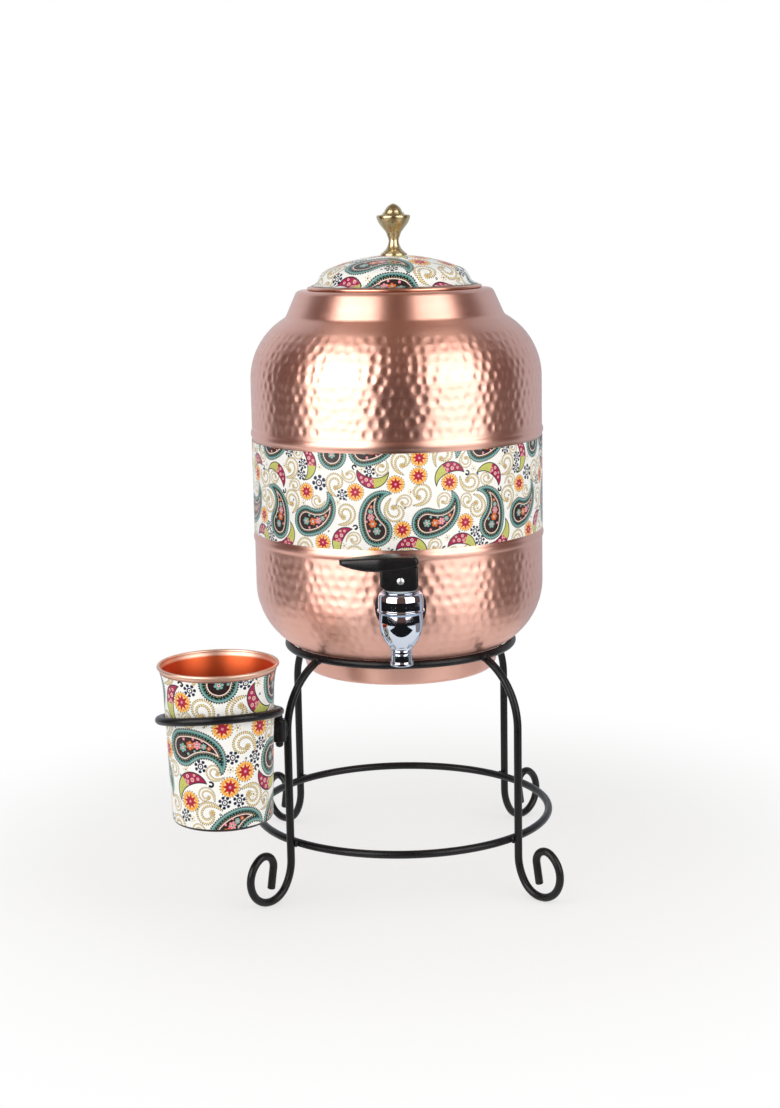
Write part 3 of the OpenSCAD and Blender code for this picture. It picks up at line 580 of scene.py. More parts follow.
def hammered(profile, low_z, high_z, seed):
    """Pushes cups into the part of a turned profile between two heights, along its normals."""
    rng = np.random.default_rng(seed)
    length = np.r_[0, np.cumsum(np.linalg.norm(np.diff(profile, axis=0), axis=1))]
    slope = np.gradient(profile, length, axis=0)
    normal = np.c_[slope[:, 1], -slope[:, 0]]
    normal /= np.linalg.norm(normal, axis=1)[:, None]
    if normal[0, 0] < 0:
        normal = -normal
    inside = (profile[:, 1] > low_z) & (profile[:, 1] < high_z)
    rows = np.arange(length[inside].min() + BLOW_R, length[inside].max() - BLOW_R / 2, ROW_PITCH)
    blows = []
    for i, s in enumerate(rows):
        r = np.interp(s, length, profile[:, 0])
        count = round(2 * np.pi * r / BLOW_PITCH)
        aside = rng.uniform(-UNSTEADY_ALONG, UNSTEADY_ALONG, count)
        a = (np.arange(count) + 0.5 * (i % 2) + aside) * 2 * np.pi / count
        at = s + rng.normal(0, UNSTEADY_ACROSS, count)
        r, z = np.interp(at, length, profile[:, 0]), np.interp(at, length, profile[:, 1])
        blows.append(np.c_[r * np.cos(a), r * np.sin(a), z])
    blows = np.concatenate(blows)
    cup_r = BLOW_R * rng.uniform(*CUP_SIZES, len(blows))
    cup_depth = BLOW_DEPTH * rng.uniform(*CUP_DEPTHS, len(blows))
    nearest = KDTree(len(blows))
    for i, p in enumerate(blows):
        nearest.insert(p, i)
    nearest.balance()
    verts, _ = turned(profile, AROUND)
    a = 2 * np.pi * np.arange(AROUND) / AROUND
    for row in np.flatnonzero(inside | np.roll(inside, 3) | np.roll(inside, -3)):
        across, up = normal[row]
        out = np.c_[across * np.cos(a), across * np.sin(a), np.full(AROUND, up)]
        start = row * AROUND
        for j in range(AROUND):
            deepest = 0.0
            for _, i, d in nearest.find_n(verts[start + j], 2):
                share = max(1 - (d / cup_r[i]) ** 2, 0) ** CUP_POWER
                deepest = max(deepest, cup_depth[i] * share)
            verts[start + j] -= out[j] * deepest
    print(f"{len(blows)} blows between {low_z} and {high_z} mm")
    return verts


def shell(name, profile_at, zone, seed, node):
    """A hammered outside, a plain inside and the edges that join them, as one closed mesh."""
    outer, inner = profile_at(0), profile_at(SHEET)
    fine = even(outer, FINE_STEP, *zone)
    verts = hammered(fine, *zone, seed)
    back = even(inner, LINING_STEP)[::-1]
    lining, _ = turned(back, AROUND)
    faces = grid_faces(len(fine) + len(back), AROUND, loop_rows=outer[-1][0] > 1)
    verts = np.concatenate([verts, lining])
    return add_piece(name, verts, faces, "pot", pot_copper, [node], "pot_copper")


shell("upper_shell_hammered", upper_profile, UPPER_HAMMERED, UPPER_SEED, "upper_shell")
shell("lower_shell_hammered", lower_profile, LOWER_HAMMERED, LOWER_SEED, "lower_shell")

# %% [markdown]
# ## A paisley print, drawn from scratch
# The band, the tumbler and the lid carry a printed pattern in the paisley manner. It could be
# painted as a picture, but then it would blur up close. Here every drop, flower and dot is a
# small flat outline with its own ink, so the edges stay as sharp as a screen print.

# %% Inks and simple outlines
INKS = {
    "ground": srgb(247, 247, 244), "outline": srgb(22, 24, 30), "navy": srgb(26, 38, 72),
    "teal": srgb(86, 140, 138), "pale_teal": srgb(134, 180, 172), "cream": srgb(248, 226, 216),
    "cocoa": srgb(46, 28, 30), "ice": srgb(206, 222, 236), "marigold": srgb(246, 186, 88),
    "orange": srgb(230, 118, 52), "crimson": srgb(186, 30, 44), "magenta": srgb(166, 32, 80),
    "pink": srgb(236, 150, 160), "lime": srgb(198, 200, 108), "gold": srgb(128, 98, 52),
    "pale_gold": srgb(222, 202, 142),
}


def ring_of(count, r, start=0.0):
    a = np.arange(count) * 2 * np.pi / count + start
    return np.c_[r * np.cos(a), r * np.sin(a)]


def disc(ink, centre, r, sides=8):
    return ink, ring_of(sides, r) + centre


def star(ink, outer, inner, points, start=0.0, soft=1):
    """A star, or a scalloped disc when each point gets more than one step."""
    count = points * 2 * soft
    wave = (1 + np.cos(np.arange(count) * np.pi / soft)) / 2
    return ink, ring_of(count, 1.0, start) * (inner + (outer - inner) * wave)[:, None]


print("inks:", ", ".join(INKS))

# %% [markdown]
# A paisley drop, a leaf and a scroll are all the same thing: a shape that follows a bent
# spine. Storing the spine and the half width lets one shape be drawn again a little smaller
# inside itself, and that is how the drop gets its rows of borders and beads.

# %% Shapes along a spine
class Ribbon:
    """A shape along a curved spine. Its outline can be inset, and strung with dots."""

    def __init__(self, length, bend, half, head=0.0, count=40):
        self.length, self.half, self.head, self.count = length, half, head, count
        self.s = np.linspace(0, length, 400)
        self.a = bend(self.s / length)
        step = np.r_[0, np.diff(self.s)]
        self.spine = np.c_[np.cumsum(step * np.cos(self.a)), np.cumsum(step * np.sin(self.a))]
        self.spine -= self.spine.mean(0)

    def width(self, s, inset):
        in_head = np.sqrt(np.clip((self.head - inset) ** 2 - (self.head - s) ** 2, 0, None))
        return np.where(s < self.head, in_head, self.half(s / self.length) - inset)

    def at(self, s, side=0.0):
        a = np.interp(s, self.s, self.a)
        x, y = (np.interp(s, self.s, column) for column in self.spine.T)
        return np.c_[x - side * np.sin(a), y + side * np.cos(a)]

    def outline(self, inset, start=0.0, end=1.0):
        low = max(start * self.length, inset if self.head else 0)
        s = np.linspace(low, end * self.length, 300)
        s = s[self.width(s, inset) > 0.02]
        s = s[0] + (1 - np.cos(np.linspace(0, np.pi, self.count))) / 2 * (s[-1] - s[0])
        w = self.width(s, inset)
        return np.concatenate([self.at(s, w), self.at(s[::-1], -w[::-1])])

    def layer(self, ink, inset, start=0.0, end=1.0):
        return [(ink, self.outline(inset, start, end))]

    def dots(self, ink, inset, spacing, r, sides=5, start=0.0, end=1.0):
        line = self.outline(inset, start, end)
        line = np.concatenate([line, line[:1]])
        run = np.r_[0, np.cumsum(np.linalg.norm(np.diff(line, axis=0), axis=1))]
        at = np.arange(0, run[-1] - spacing / 2, spacing)
        centres = np.c_[np.interp(at, run, line[:, 0]), np.interp(at, run, line[:, 1])]
        return [disc(ink, c, r, sides) for c in centres]


straight = Ribbon(10, lambda t: 0 * t, lambda t: 1 + 0 * t)
print("points round a straight ribbon:", len(straight.outline(0)))

# %% [markdown]
# Each motif is a list of inks and outlines, the lowest first, as a printer lays one screen over
# another. A drop holds flowers, a marigold is stars on stars, a daisy is a ring of petals, and
# scrolls and leaves fill the gaps. Sizes are in millimetres.

# %% The motifs
def paisley(length=41.0, head=9.6, curl=2.4):
    tail = head / length

    def half(t):
        u = np.clip((t - tail) / (1 - tail), 0, 1)
        return head * (1 - u ** 1.15) ** 0.9 + 0.35 * u

    def bend(t):
        return curl * np.clip((t - 0.7 * tail) / (1 - 0.7 * tail), 0, 1) ** 1.5

    drop = Ribbon(length, bend, half, head)
    out = drop.dots("outline", 0.1, 1.3, 0.5) + drop.layer("outline", 0.3)
    out += drop.layer("pale_teal", 0.6) + drop.layer("teal", 1.3)
    out += drop.dots("outline", 2.35, 1.7, 0.76, 4) + drop.layer("outline", 2.6)
    out += drop.dots("pale_gold", 3.25, 1.2, 0.28, 4) + drop.layer("cream", 3.75) + drop.layer("cocoa", 4.3)
    for k, t in enumerate((0.98, 1.5, 1.93, 2.3, 2.6)):
        s = np.array([t * head])
        w = drop.width(s, 4.25)[0]
        petals, middle = (("pale_teal", "crimson"), ("orange", "teal"), ("pink", "navy"))[k % 3]
        r, c = min(2.6, 0.72 * w), drop.at(s)[0]
        out += [disc(petals, c + 0.62 * r * d, 0.32 * r, 6) for d in ring_of(6, 1.0)]
        out += [disc("cream", c, 0.34 * r, 7), disc(middle, c, 0.2 * r, 5)]
        for side, ink in ((-1, "pink"), (1, "pale_teal")):
            spot = drop.at(s + 0.24 * head, side * 0.72 * w)[0]
            out.append(disc(ink, spot, 0.13 * w + 0.16, 5))
    return out


def marigold(r=5.7):
    out = [star("marigold", 0.93 * r, 0.83 * r, 16, 0, 2)]
    out += [disc("outline", c, 0.065 * r, 5) for c in ring_of(22, 0.93 * r)]
    out += [star("orange", 0.8 * r, 0.5 * r, 16), star("marigold", 0.68 * r, 0.56 * r, 12)]
    out += [star("crimson", 0.74 * r, 0.38 * r, 8)]
    out += [disc("cream", c, 0.065 * r, 5) for c in ring_of(8, 0.52 * r, np.pi / 8)]
    return out + [disc("magenta", (0, 0), 0.28 * r, 11), disc("pink", (0, 0), 0.13 * r, 7)]


def daisy(r=5.0):
    t = np.linspace(0, 2 * np.pi, 10)[:-1]
    along, across = 0.75 + 0.25 * np.cos(t), 0.3 * np.sin(t) * (0.86 + 0.2 * np.cos(t))
    out = []
    for d in ring_of(7, 1.0):
        sideways = np.array([-d[1], d[0]])
        out.append(("navy", r * (along[:, None] * d + across[:, None] * sideways)))
    out += [disc("navy", (0, 0), 0.47 * r, 12), disc("ground", (0, 0), 0.28 * r, 10)]
    return out + [disc("navy", (0, 0), 0.12 * r, 7)]


def scroll(length=30.0, turn=6.0):
    s = Ribbon(
        length, lambda t: turn * t ** 1.6,
        lambda t: 2.1 * np.sin(np.pi * np.clip(t, 0, 1)) ** 0.5 * (0.62 + 0.46 * t) + 0.02, count=34,
    )
    out = s.dots("gold", 0.1, 1.15, 0.42, 5) + s.layer("pale_gold", 0.35)
    out += s.layer("ground", 1.0, 0.06, 0.95) + s.dots("gold", 1.05, 1.25, 0.28, 4, 0.1, 0.93)
    end = s.at(np.array([0.985 * length]))[0]
    out += [disc("gold", end + d, 0.36, 4) for d in ring_of(9, 1.5)]
    out.append(disc("pale_gold", end, 1.35, 9))
    out += [disc("gold", end + d, 0.26, 4) for d in ring_of(6, 0.75)]
    return out + [disc("crimson", end, 0.35, 5)]


def leaf(length=27.0, turn=2.7):
    def half(t):
        return 3.5 * np.clip(np.sin(np.pi * np.clip(t, 0, 1) ** 1.15), 0, 1) ** 0.9 + 0.02

    def on_blade(t, side):
        return blade.at(np.array([t * length]), side * half(t))[0]

    blade = Ribbon(length, lambda t: turn * (t - 0.5), half, count=28)
    hook = Ribbon(5.4, lambda t: 0.3 + 4.2 * t ** 1.3, lambda t: 0.42 + 0.2 * t, count=12)
    hook.spine += blade.at(np.array([length]), -1.6)[0] - hook.spine[0]
    out = hook.layer("outline", 0) + [disc("outline", hook.spine[-1], 0.72, 7)]
    out += blade.layer("outline", 0) + blade.layer("lime", 0.6) + blade.layer("magenta", 0.6, 0.47, 1.0)
    eyes = ((0.53, 0.3, 0.85), (0.57, -0.4, 1.0), (0.66, 0.3, 1.1), (0.71, -0.45, 0.7), (0.79, 0.05, 0.8))
    for t, side, r in eyes:
        c = on_blade(t, side)
        out += [disc("cream", c, r, 7), disc("crimson", c, 0.66 * r, 6), disc("cream", c, 0.28 * r, 4)]
    out += [disc("pink", on_blade(0.49, side), 0.75, 6) for side in (-0.1, 0.7)]
    return out + [disc("gold", on_blade(t, 0.2), 0.3, 4) for t in (0.16, 0.23, 0.3, 0.37)]


def smaller(motif, share):
    return [(ink, share * points) for ink, points in motif]


MOTIFS = {
    "paisley": paisley(), "marigold": marigold(), "leaf": leaf(), "scroll": scroll(), "daisy": daisy(),
    "small_scroll": smaller(scroll(), 0.68), "small_daisy": daisy(3.5),
    "sprig": [disc("gold", (0, 0), 0.55, 6)] + [disc("pale_gold", c, 0.5, 6) for c in ring_of(5, 1.4)],
    "spot": [disc("navy", (0, 0), 0.7, 7), disc("ice", (0, 0), 0.32, 5)],
}
print({name: sum(len(points) for _, points in motif) for name, motif in MOTIFS.items()})

# %% [markdown]
# ## Laying the motifs out
# A printer's repeat is packed by eye: big drops first, then flowers, then small things in the
# gaps. The computer can do the same with a grid of cells. Comparing a motif's cells with the
# taken ones at every place at once is a convolution, and that is quick as a product of spectra.
# Of the places that are free, the one farthest from its own kind is chosen.

# %% Packing on a repeating sheet
def placed(points, x, y, angle, flip):
    c, s = math.cos(angle), math.sin(angle)
    p = points * (1, -1 if flip else 1)
    return np.c_[x + c * p[:, 0] - s * p[:, 1], y + s * p[:, 0] + c * p[:, 1]]


# Motif, how many at most, how many turned versions to draw, and how far apart its kind keeps
ORDER = (
    ("paisley", 8, 14, 24), ("leaf", 8, 14, 18), ("scroll", 16, 16, 13), ("marigold", 14, 2, 16),
    ("small_scroll", 12, 16, 12), ("daisy", 12, 3, 14), ("small_scroll", 30, 16, 12),
    ("small_daisy", 20, 3, 12), ("sprig", 18, 1, 10), ("spot", 14, 1, 8),
)
ORDER_AREA, CELL, MARGIN, TRIES = 12900, 0.6, 0.35, 5


def cells_under(polygons, shape):
    """The cells that a motif at the origin covers on the wrapped grid, with a margin round it."""
    mask = np.zeros(shape, bool)
    for p in polygons:
        lo, hi = np.floor(p.min(0) / CELL).astype(int) - 1, np.ceil(p.max(0) / CELL).astype(int) + 1
        gx, gy = np.meshgrid(np.arange(lo[0], hi[0] + 1), np.arange(lo[1], hi[1] + 1))
        x, y = gx * CELL, gy * CELL
        inside = np.zeros(x.shape, bool)
        for (x0, y0), (x1, y1) in zip(p, np.roll(p, -1, 0)):
            if y0 != y1:
                inside ^= ((y0 > y) != (y1 > y)) & (x < (x1 - x0) * (y - y0) / (y1 - y0) + x0)
        mask[gy[inside] % shape[0], gx[inside] % shape[1]] = True
    out, steps = mask.copy(), math.ceil(MARGIN / CELL)
    for dy in range(-steps, steps + 1):
        for dx in range(-steps, steps + 1):
            if math.hypot(dx, dy) * CELL <= MARGIN:
                out |= np.roll(mask, (dy, dx), (0, 1))
    return out


def lay_out(width, height, seed):
    """Places for the motifs on a sheet of this size that repeats both ways."""
    rng = np.random.default_rng(seed)
    shape = (round(height / CELL), round(width / CELL))
    step = (width / shape[1], height / shape[0])
    gx, gy = (np.minimum(np.arange(n), n - np.arange(n)) * d for n, d in zip(shape[::-1], step))
    away = gx[None] ** 2 + gy[:, None] ** 2
    share = width * height / ORDER_AREA
    taken = np.zeros(shape, bool)
    places = []
    for name, count, turns, reach in ORDER:
        versions = []
        for k in range(turns):
            angle, flip = (k + rng.uniform(-0.4, 0.4)) * 2 * np.pi / turns, k % 2
            outlines = [placed(p, 0, 0, angle, flip) for _, p in MOTIFS[name]]
            mask = cells_under(outlines, shape)
            versions.append((angle, flip, mask, np.conj(np.fft.rfft2(mask))))
        same_kind = np.exp(-away / (2 * reach ** 2))
        crowd = rng.uniform(0, 0.12, shape)
        for _ in range(round(count * share)):
            spectrum = np.fft.rfft2(taken)
            found = []
            for k in rng.permutation(turns)[:TRIES]:
                overlap = np.fft.irfft2(spectrum * versions[k][3], shape)
                cost = np.where(overlap < 0.5, crowd, np.inf)
                found.append((cost.min(), int(cost.argmin()), k))
            best, i, k = min(found)
            if not np.isfinite(best):
                break
            iy, ix = divmod(i, shape[1])
            taken |= np.roll(versions[k][2], (iy, ix), (0, 1))
            crowd += np.roll(same_kind, (iy, ix), (0, 1))
            places.append((name, ix * step[0], iy * step[1]) + versions[k][:2])
    print(f"{len(places)} motifs on {width:.1f} x {height:.1f} mm, {taken.mean():.0%} covered")
    return places


print("motifs in the order of packing:", [row[0] for row in ORDER])

# %% [markdown]
# ## Cutting the print and wrapping it on
# All outlines are laid over each other and cut along every line into triangles, and each
# triangle takes the ink of the topmost outline that it lies in. Extra straight lines are cut
# in too, so that there are enough points to bend the sheet round a pot, a cone or a dome.

# %% Cutting
def cut_print(places, sheet, scale, ground, lines, hole=None):
    """Flat points, triangles and the ink of each one, inside the ground's outline."""
    points, faces, inks, edges = [], [], [], []

    def add(ink, polygon):
        x, y = polygon.T
        if x @ np.roll(y, -1) < y @ np.roll(x, -1):
            polygon = polygon[::-1]
        faces.append(list(range(len(points), len(points) + len(polygon))))
        points.extend(polygon.tolist())
        inks.append(ink)

    add("ground", ground)
    lo, hi = ground.min(0), ground.max(0)
    for name, x, y, angle, flip in places:
        for copy_x in (-sheet[0], 0, sheet[0]):
            for copy_y in (-sheet[1], 0, sheet[1]):
                for ink, p in MOTIFS[name]:
                    p = scale * placed(p, x + copy_x, y + copy_y, angle, flip)
                    if (p.max(0) > lo).all() and (p.min(0) < hi).all():
                        add(ink, p)
    if hole is not None:
        add("hole", hole)
    for line in lines:
        edges += [(len(points) + i, len(points) + i + 1) for i in range(len(line) - 1)]
        points.extend(np.asarray(line).tolist())
    flat, _, triangles, _, _, owners = delaunay_2d_cdt([Vector(p) for p in points], edges, faces, 0, 1e-6)
    kept = [(t, inks[max(o)]) for t, o in zip(triangles, owners) if 0 in o and inks[max(o)] != "hole"]
    return np.array(flat), np.array([t for t, _ in kept]), [ink for _, ink in kept]


square = np.array([(0, 0), (10, 0), (10, 10), (0, 10)])
one_spot = cut_print([("spot", 5, 5, 0, 0)], (10, 10), 1.0, square, [])
print("triangles in a square with one spot:", len(one_spot[1]))

# %% [markdown]
# The enamel is a baked ink, slightly glossy, with a faint haze, the fine grain of the screen and
# a soft waviness. Each corner of the mesh carries its ink as a colour, so one material serves
# every ink, and the edges between two inks stay sharp.

# %% Enamel
ink_coat = Finish("printed_enamel", Specular_IOR_Level=0.22, Coat_Weight=0.08, Coat_Roughness=0.08)
ink = ink_coat.nodes.new("ShaderNodeAttribute")
ink.attribute_name = "ink"
haze = ink_coat.between(ink_coat.noise((40, 40, 40), 3), 0.0, 0.02)
grain = ink_coat.between(ink_coat.noise((1400, 1400, 1400), 2), 0.0, 0.16)
thin = ink_coat.blend(haze, ink.outputs["Color"], srgb(225, 222, 214))
ink_coat.wire(ink_coat.blend(grain, thin, srgb(205, 202, 196), "MULTIPLY"), "Base Color")
ink_coat.wire(ink_coat.between(ink_coat.noise((90, 90, 90), 3), 0.24, 0.36), "Roughness")
ink_coat.bump(ink_coat.noise((420, 420, 420), 2), 0.00003)
printed_enamel = ink_coat.material
print("nodes in the enamel:", len(ink_coat.nodes))

# %% [markdown]
# A print is a skin a quarter of a millimetre thick. Its two ends are welded where they meet
# round the piece, a narrow skirt closes its rim towards the metal, and a flat map is kept so
# that the inks can later be baked into a picture.

# %% Printed skins
PRINT_T, FIX_GAP = 0.25, 0.02


def add_print(name, points, normals, faces, inks, spread, body, node):
    """A printed skin: welded, given a thin edge, an ink per corner and a flat map for baking."""
    _, first, index = np.unique(np.round(points, 3), axis=0, return_index=True, return_inverse=True)
    points, normals = points[first], normals[first]
    welded = index.reshape(-1)[faces]
    whole = (welded != np.roll(welded, 1, 1)).all(1)
    welded, spread, inks = welded[whole], spread[whole], [i for i, w in zip(inks, whole) if w]
    edges = np.concatenate([welded[:, [0, 1]], welded[:, [1, 2]], welded[:, [2, 0]]])
    _, where, uses = np.unique(np.sort(edges, 1), axis=0, return_index=True, return_counts=True)
    rim = edges[where[uses == 1]]
    inner = np.full(len(points), -1)
    rim_points = np.unique(rim)
    inner[rim_points] = len(points) + np.arange(len(rim_points))
    skirt = np.c_[rim[:, 1], rim[:, 0], inner[rim[:, 0]], inner[rim[:, 1]]]
    points = np.concatenate([points, points[rim_points] - PRINT_T * normals[rim_points]])
    normals = np.concatenate([normals, normals[rim_points]])
    mesh = bpy.data.meshes.new(name)
    mesh.from_pydata((points * MM).tolist(), [], welded.tolist() + skirt.tolist())
    colours = np.array([INKS[i] for i in inks], np.float32).repeat(3, 0)
    colours = np.concatenate([colours, np.tile(np.float32(INKS["ground"]), (4 * len(skirt), 1))])
    mesh.color_attributes.new("ink", "FLOAT_COLOR", "CORNER").data.foreach_set("color", colours.ravel())
    flat_map = np.concatenate([spread.reshape(-1, 2), np.zeros((4 * len(skirt), 2))]).astype(np.float32)
    mesh.uv_layers.new(name="OFBake").data.foreach_set("uv", flat_map.ravel())
    mesh.shade_smooth()
    mesh.normals_split_custom_set_from_vertices(normals.tolist())
    mesh.materials.append(printed_enamel)
    obj = bpy.data.objects.new(name, mesh)
    scene.collection.objects.link(obj)
    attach(obj, body)
    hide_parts(node)
    print(f"{name}: {len(points)} points, {len(mesh.polygons)} faces, on {body}")
    return obj


print("thickness of a print:", PRINT_T, "mm")

# %% [markdown]
# The pattern of the band repeats four times round the pot, as from a printing roller. One repeat
# is laid out on a sheet that is taller than the band, and the band shows a strip of it.

# %% The band round the pot
BAND_LOW, BAND_HIGH, REPEATS, COLUMNS = 225.741, 284.241, 4, 30
SHEET_H, BAND_SEED = 88.0, 3
band_r = POT_R + FIX_GAP + PRINT_T
repeat = 2 * math.pi * band_r / REPEATS
height = BAND_HIGH - BAND_LOW
places = lay_out(repeat, SHEET_H, BAND_SEED)
ground = np.array([(0, 0), (repeat, 0), (repeat, height), (0, height)])
lines = [[(x, 0), (x, height)] for x in np.linspace(0, repeat, COLUMNS + 1)[1:-1]]
flat, faces, inks = cut_print(places, (repeat, SHEET_H), 1.0, ground, lines)
around = np.concatenate([flat + (k * repeat, 0) for k in range(REPEATS)])
a = around[:, 0] / band_r
out = np.c_[np.cos(a), np.sin(a), np.zeros(len(a))]
points = band_r * out + np.c_[np.zeros((len(a), 2)), around[:, 1] + BAND_LOW]
tiles, spread = [], []
for k in range(REPEATS):  # each repeat gets its own strip of the flat map
    tiles.append(faces + k * len(flat))
    spread.append((flat / (repeat, height) * (0.98, 0.23) + (0.01, 0.01 + 0.25 * k))[faces])
tiles, spread = np.concatenate(tiles), np.concatenate(spread)
add_print("band_print_inks", points, out, tiles, inks * REPEATS, spread, "pot", "band_print")

# %% [markdown]
# ## The lid and its knob
# The lid is one pressed sheet: a flat dome, a hollow fillet and a sloping flange whose edge is
# rolled under. The flat print is laid on by distance from the middle, so the drops keep their
# size on the dome instead of stretching at its steep side.

# %% Lid
LID_Z, CROWN_R, CROWN_Z, LID_T = 378.241, 110.0, 289.041, 0.8
DOME_EDGE, DOME_EDGE_R, DOME_FOOT = np.array([38.325, 381.541]), 9.875, 17
FLANGE_FILLET, FLANGE_FALL, LID_EDGE_X, LID_EDGE_R = 5.0, 18, 54.5, 0.9
SCREW_HOLE_R, KNOB_BASE_R = 2.2, 8.4


def lid_top(inset, inner_r, outer_r):
    """The lid's top between two radii, moved down by an inset."""
    crown_turn = math.degrees(math.atan2(DOME_EDGE[1] - CROWN_Z, DOME_EDGE[0]))
    flange_c = DOME_EDGE + (DOME_EDGE_R + FLANGE_FILLET) * heading(DOME_FOOT)
    flange = flange_c - (FLANGE_FILLET + inset) * heading(90 - FLANGE_FALL)
    fall = (outer_r - flange[0]) * math.tan(math.radians(FLANGE_FALL))
    return np.concatenate([
        arc((0, CROWN_Z), CROWN_R - inset, math.degrees(math.acos(inner_r / CROWN_R)), crown_turn, 1.5),
        arc(DOME_EDGE, DOME_EDGE_R - inset, crown_turn, DOME_FOOT, 5)[1:],
        arc(flange_c, FLANGE_FILLET + inset, DOME_FOOT + 180, 270 - FLANGE_FALL, 9)[1:],
        [(outer_r, flange[1] - fall)],
    ])


rolled_edge = arc((LID_EDGE_X, LID_Z + LID_EDGE_R), LID_EDGE_R, 90 - FLANGE_FALL, -180, 15)
inside = lid_top(LID_T, SCREW_HOLE_R, LID_EDGE_X - LID_EDGE_R - LID_T / 2)[::-1]
profile = np.concatenate([lid_top(0, SCREW_HOLE_R, LID_EDGE_X), rolled_edge, inside])
add_piece("lid_sheet", *turned(profile, 160, loop=True), "lid", lid_copper, ["lid_shell"], "pot_copper")

# %% [markdown]
# A flat print goes on a turned form by its length along the profile: how far out a point lies on
# the sheet is how far it lies along the metal. Two helpers do it, for the lid and the tumbler.

# %% Laying a print on a turned form
def profile_map(profile, start=0.0):
    """Length along a profile, and functions from that length to radius, height and normal."""
    profile = even(profile, 0.5)
    length = start + np.r_[0, np.cumsum(np.linalg.norm(np.diff(profile, axis=0), axis=1))]
    slope = np.gradient(profile, length, axis=0)
    normal = np.c_[slope[:, 1], -slope[:, 0]] / np.linalg.norm(slope, axis=1)[:, None]
    if normal[len(normal) // 2].sum() < 0:
        normal = -normal
    table = np.c_[profile, normal]
    return length, lambda s: np.stack([np.interp(s, length, column) for column in table.T], -1)


def wrapped(angle, rows, centre=(0, 0, 0)):
    """Points and normals at these angles, from rows of radius, height and normal."""
    turn = np.c_[np.cos(angle), np.sin(angle)]
    points = np.c_[turn * rows[:, :1], rows[:, 1]] + centre
    return points, np.c_[turn * rows[:, 2:3], rows[:, 3]]


along_lid = profile_map(lid_top(0, SCREW_HOLE_R, LID_EDGE_X))[0]
print(f"the lid's sheet is {along_lid[-1]:.1f} mm from hole to edge")

# %% [markdown]
# The lid's print is a round cut of the same pattern, a little larger, with a hole for the knob.
# Rings and spokes are cut in so that it can bend over the dome and out along the flange.

# %% The lid's print
LID_PRINT_SCALE, LID_SEED, LID_SPOKES, LID_RINGS, RING_SIDES = 1.3, 21, 48, 22, 120
print_r0 = KNOB_BASE_R + FIX_GAP
length, lid_at = profile_map(lid_top(-FIX_GAP - PRINT_T, print_r0, LID_EDGE_X - 2 * LID_EDGE_R), print_r0)
reach = length[-1]
sheet = (2.2 * reach / LID_PRINT_SCALE,) * 2
places = lay_out(*sheet, LID_SEED)
rings = []
for r in np.linspace(print_r0, reach, LID_RINGS + 2)[1:-1]:
    ring = ring_of(RING_SIDES, r)
    rings.append(np.concatenate([ring, ring[:1]]))
spokes = [np.array([0.9 * print_r0 * d, 1.01 * reach * d]) for d in ring_of(LID_SPOKES, 1.0, 0.01)]
middle = np.full(2, 1.1 * reach)
flat, faces, inks = cut_print(
    places, sheet, LID_PRINT_SCALE, ring_of(160, reach) + middle, [line + middle for line in rings + spokes],
    ring_of(64, print_r0) + middle,
)
flat -= middle
points, normals = wrapped(np.arctan2(flat[:, 1], flat[:, 0]), lid_at(np.linalg.norm(flat, axis=1)))
spread = (0.5 + 0.49 * flat / reach)[faces]
add_print("lid_print_inks", points, normals, faces, inks, spread, "lid", "lid_print")

# %% [markdown]
# The knob is turned from brass in one piece: a stepped foot, an hourglass that opens into a bell,
# a shelf and a round cap. The hourglass has no flat anywhere, so it is a curve through a few
# measured points, while foot and shelf are corners with small roundings.

# %% Knob
KNOB_Z, KNOB_H = 399.041, 32.2


def smooth(points, steps=6):
    """A smooth curve that passes through all the points."""
    p = np.array(points, float)
    p = np.concatenate([2 * p[:1] - p[1:2], p, 2 * p[-1:] - p[-2:-1]])
    t = np.linspace(0, 1, steps, endpoint=False)[:, None]
    runs = [
        b + t * (c - a) / 2 + t ** 2 * (a - 2.5 * b + 2 * c - d / 2) + t ** 3 * (1.5 * (b - c) + (d - a) / 2)
        for a, b, c, d in zip(p[:-3], p[1:-2], p[2:-1], p[3:])
    ]
    return np.concatenate(runs + [p[-2:-1]])


rim_turn = math.degrees(math.acos(KNOB_BASE_R / CROWN_R))
under = arc((0, CROWN_Z - KNOB_Z), CROWN_R + FIX_GAP, 88.9, rim_turn, 1)
foot = rounded([
    (KNOB_BASE_R - 0.5, -0.3, 0), (KNOB_BASE_R, -0.25, 0.3), (KNOB_BASE_R, 1.1, 0.5),
    (7.4, 1.3, 0.15), (7.1, 1.9, 0.3), (6.6, 2.0, 0),
])
bell = smooth([
    (6.4, 2.4), (5.2, 3.6), (4.0, 5.6), (3.2, 8.3), (3.3, 10.0), (4.0, 12.0), (4.9, 14.4),
    (6.6, 16.6), (8.9, 19.6), (10.2, 22.2), (10.65, 23.8), (10.4, 24.7), (9.7, 25.0),
])
shelf = rounded([(9.4, 25.0, 0), (6.9, 25.6, 0.3), (6.5, 26.5, 0.4), (5.75, 26.7, 0)])
cap = arc((-1.9, KNOB_H - 7.77), 8, 17, 76, 4)
under = under[under[:, 0] < KNOB_BASE_R - 0.6]
profile = np.concatenate([under, foot, bell, shelf, cap, [(0, cap[-1, 1])]])
add_piece("knob", *turned(profile, 96, (0, 0, KNOB_Z)), "lid", finial_brass, ["finial"], "finial_brass")
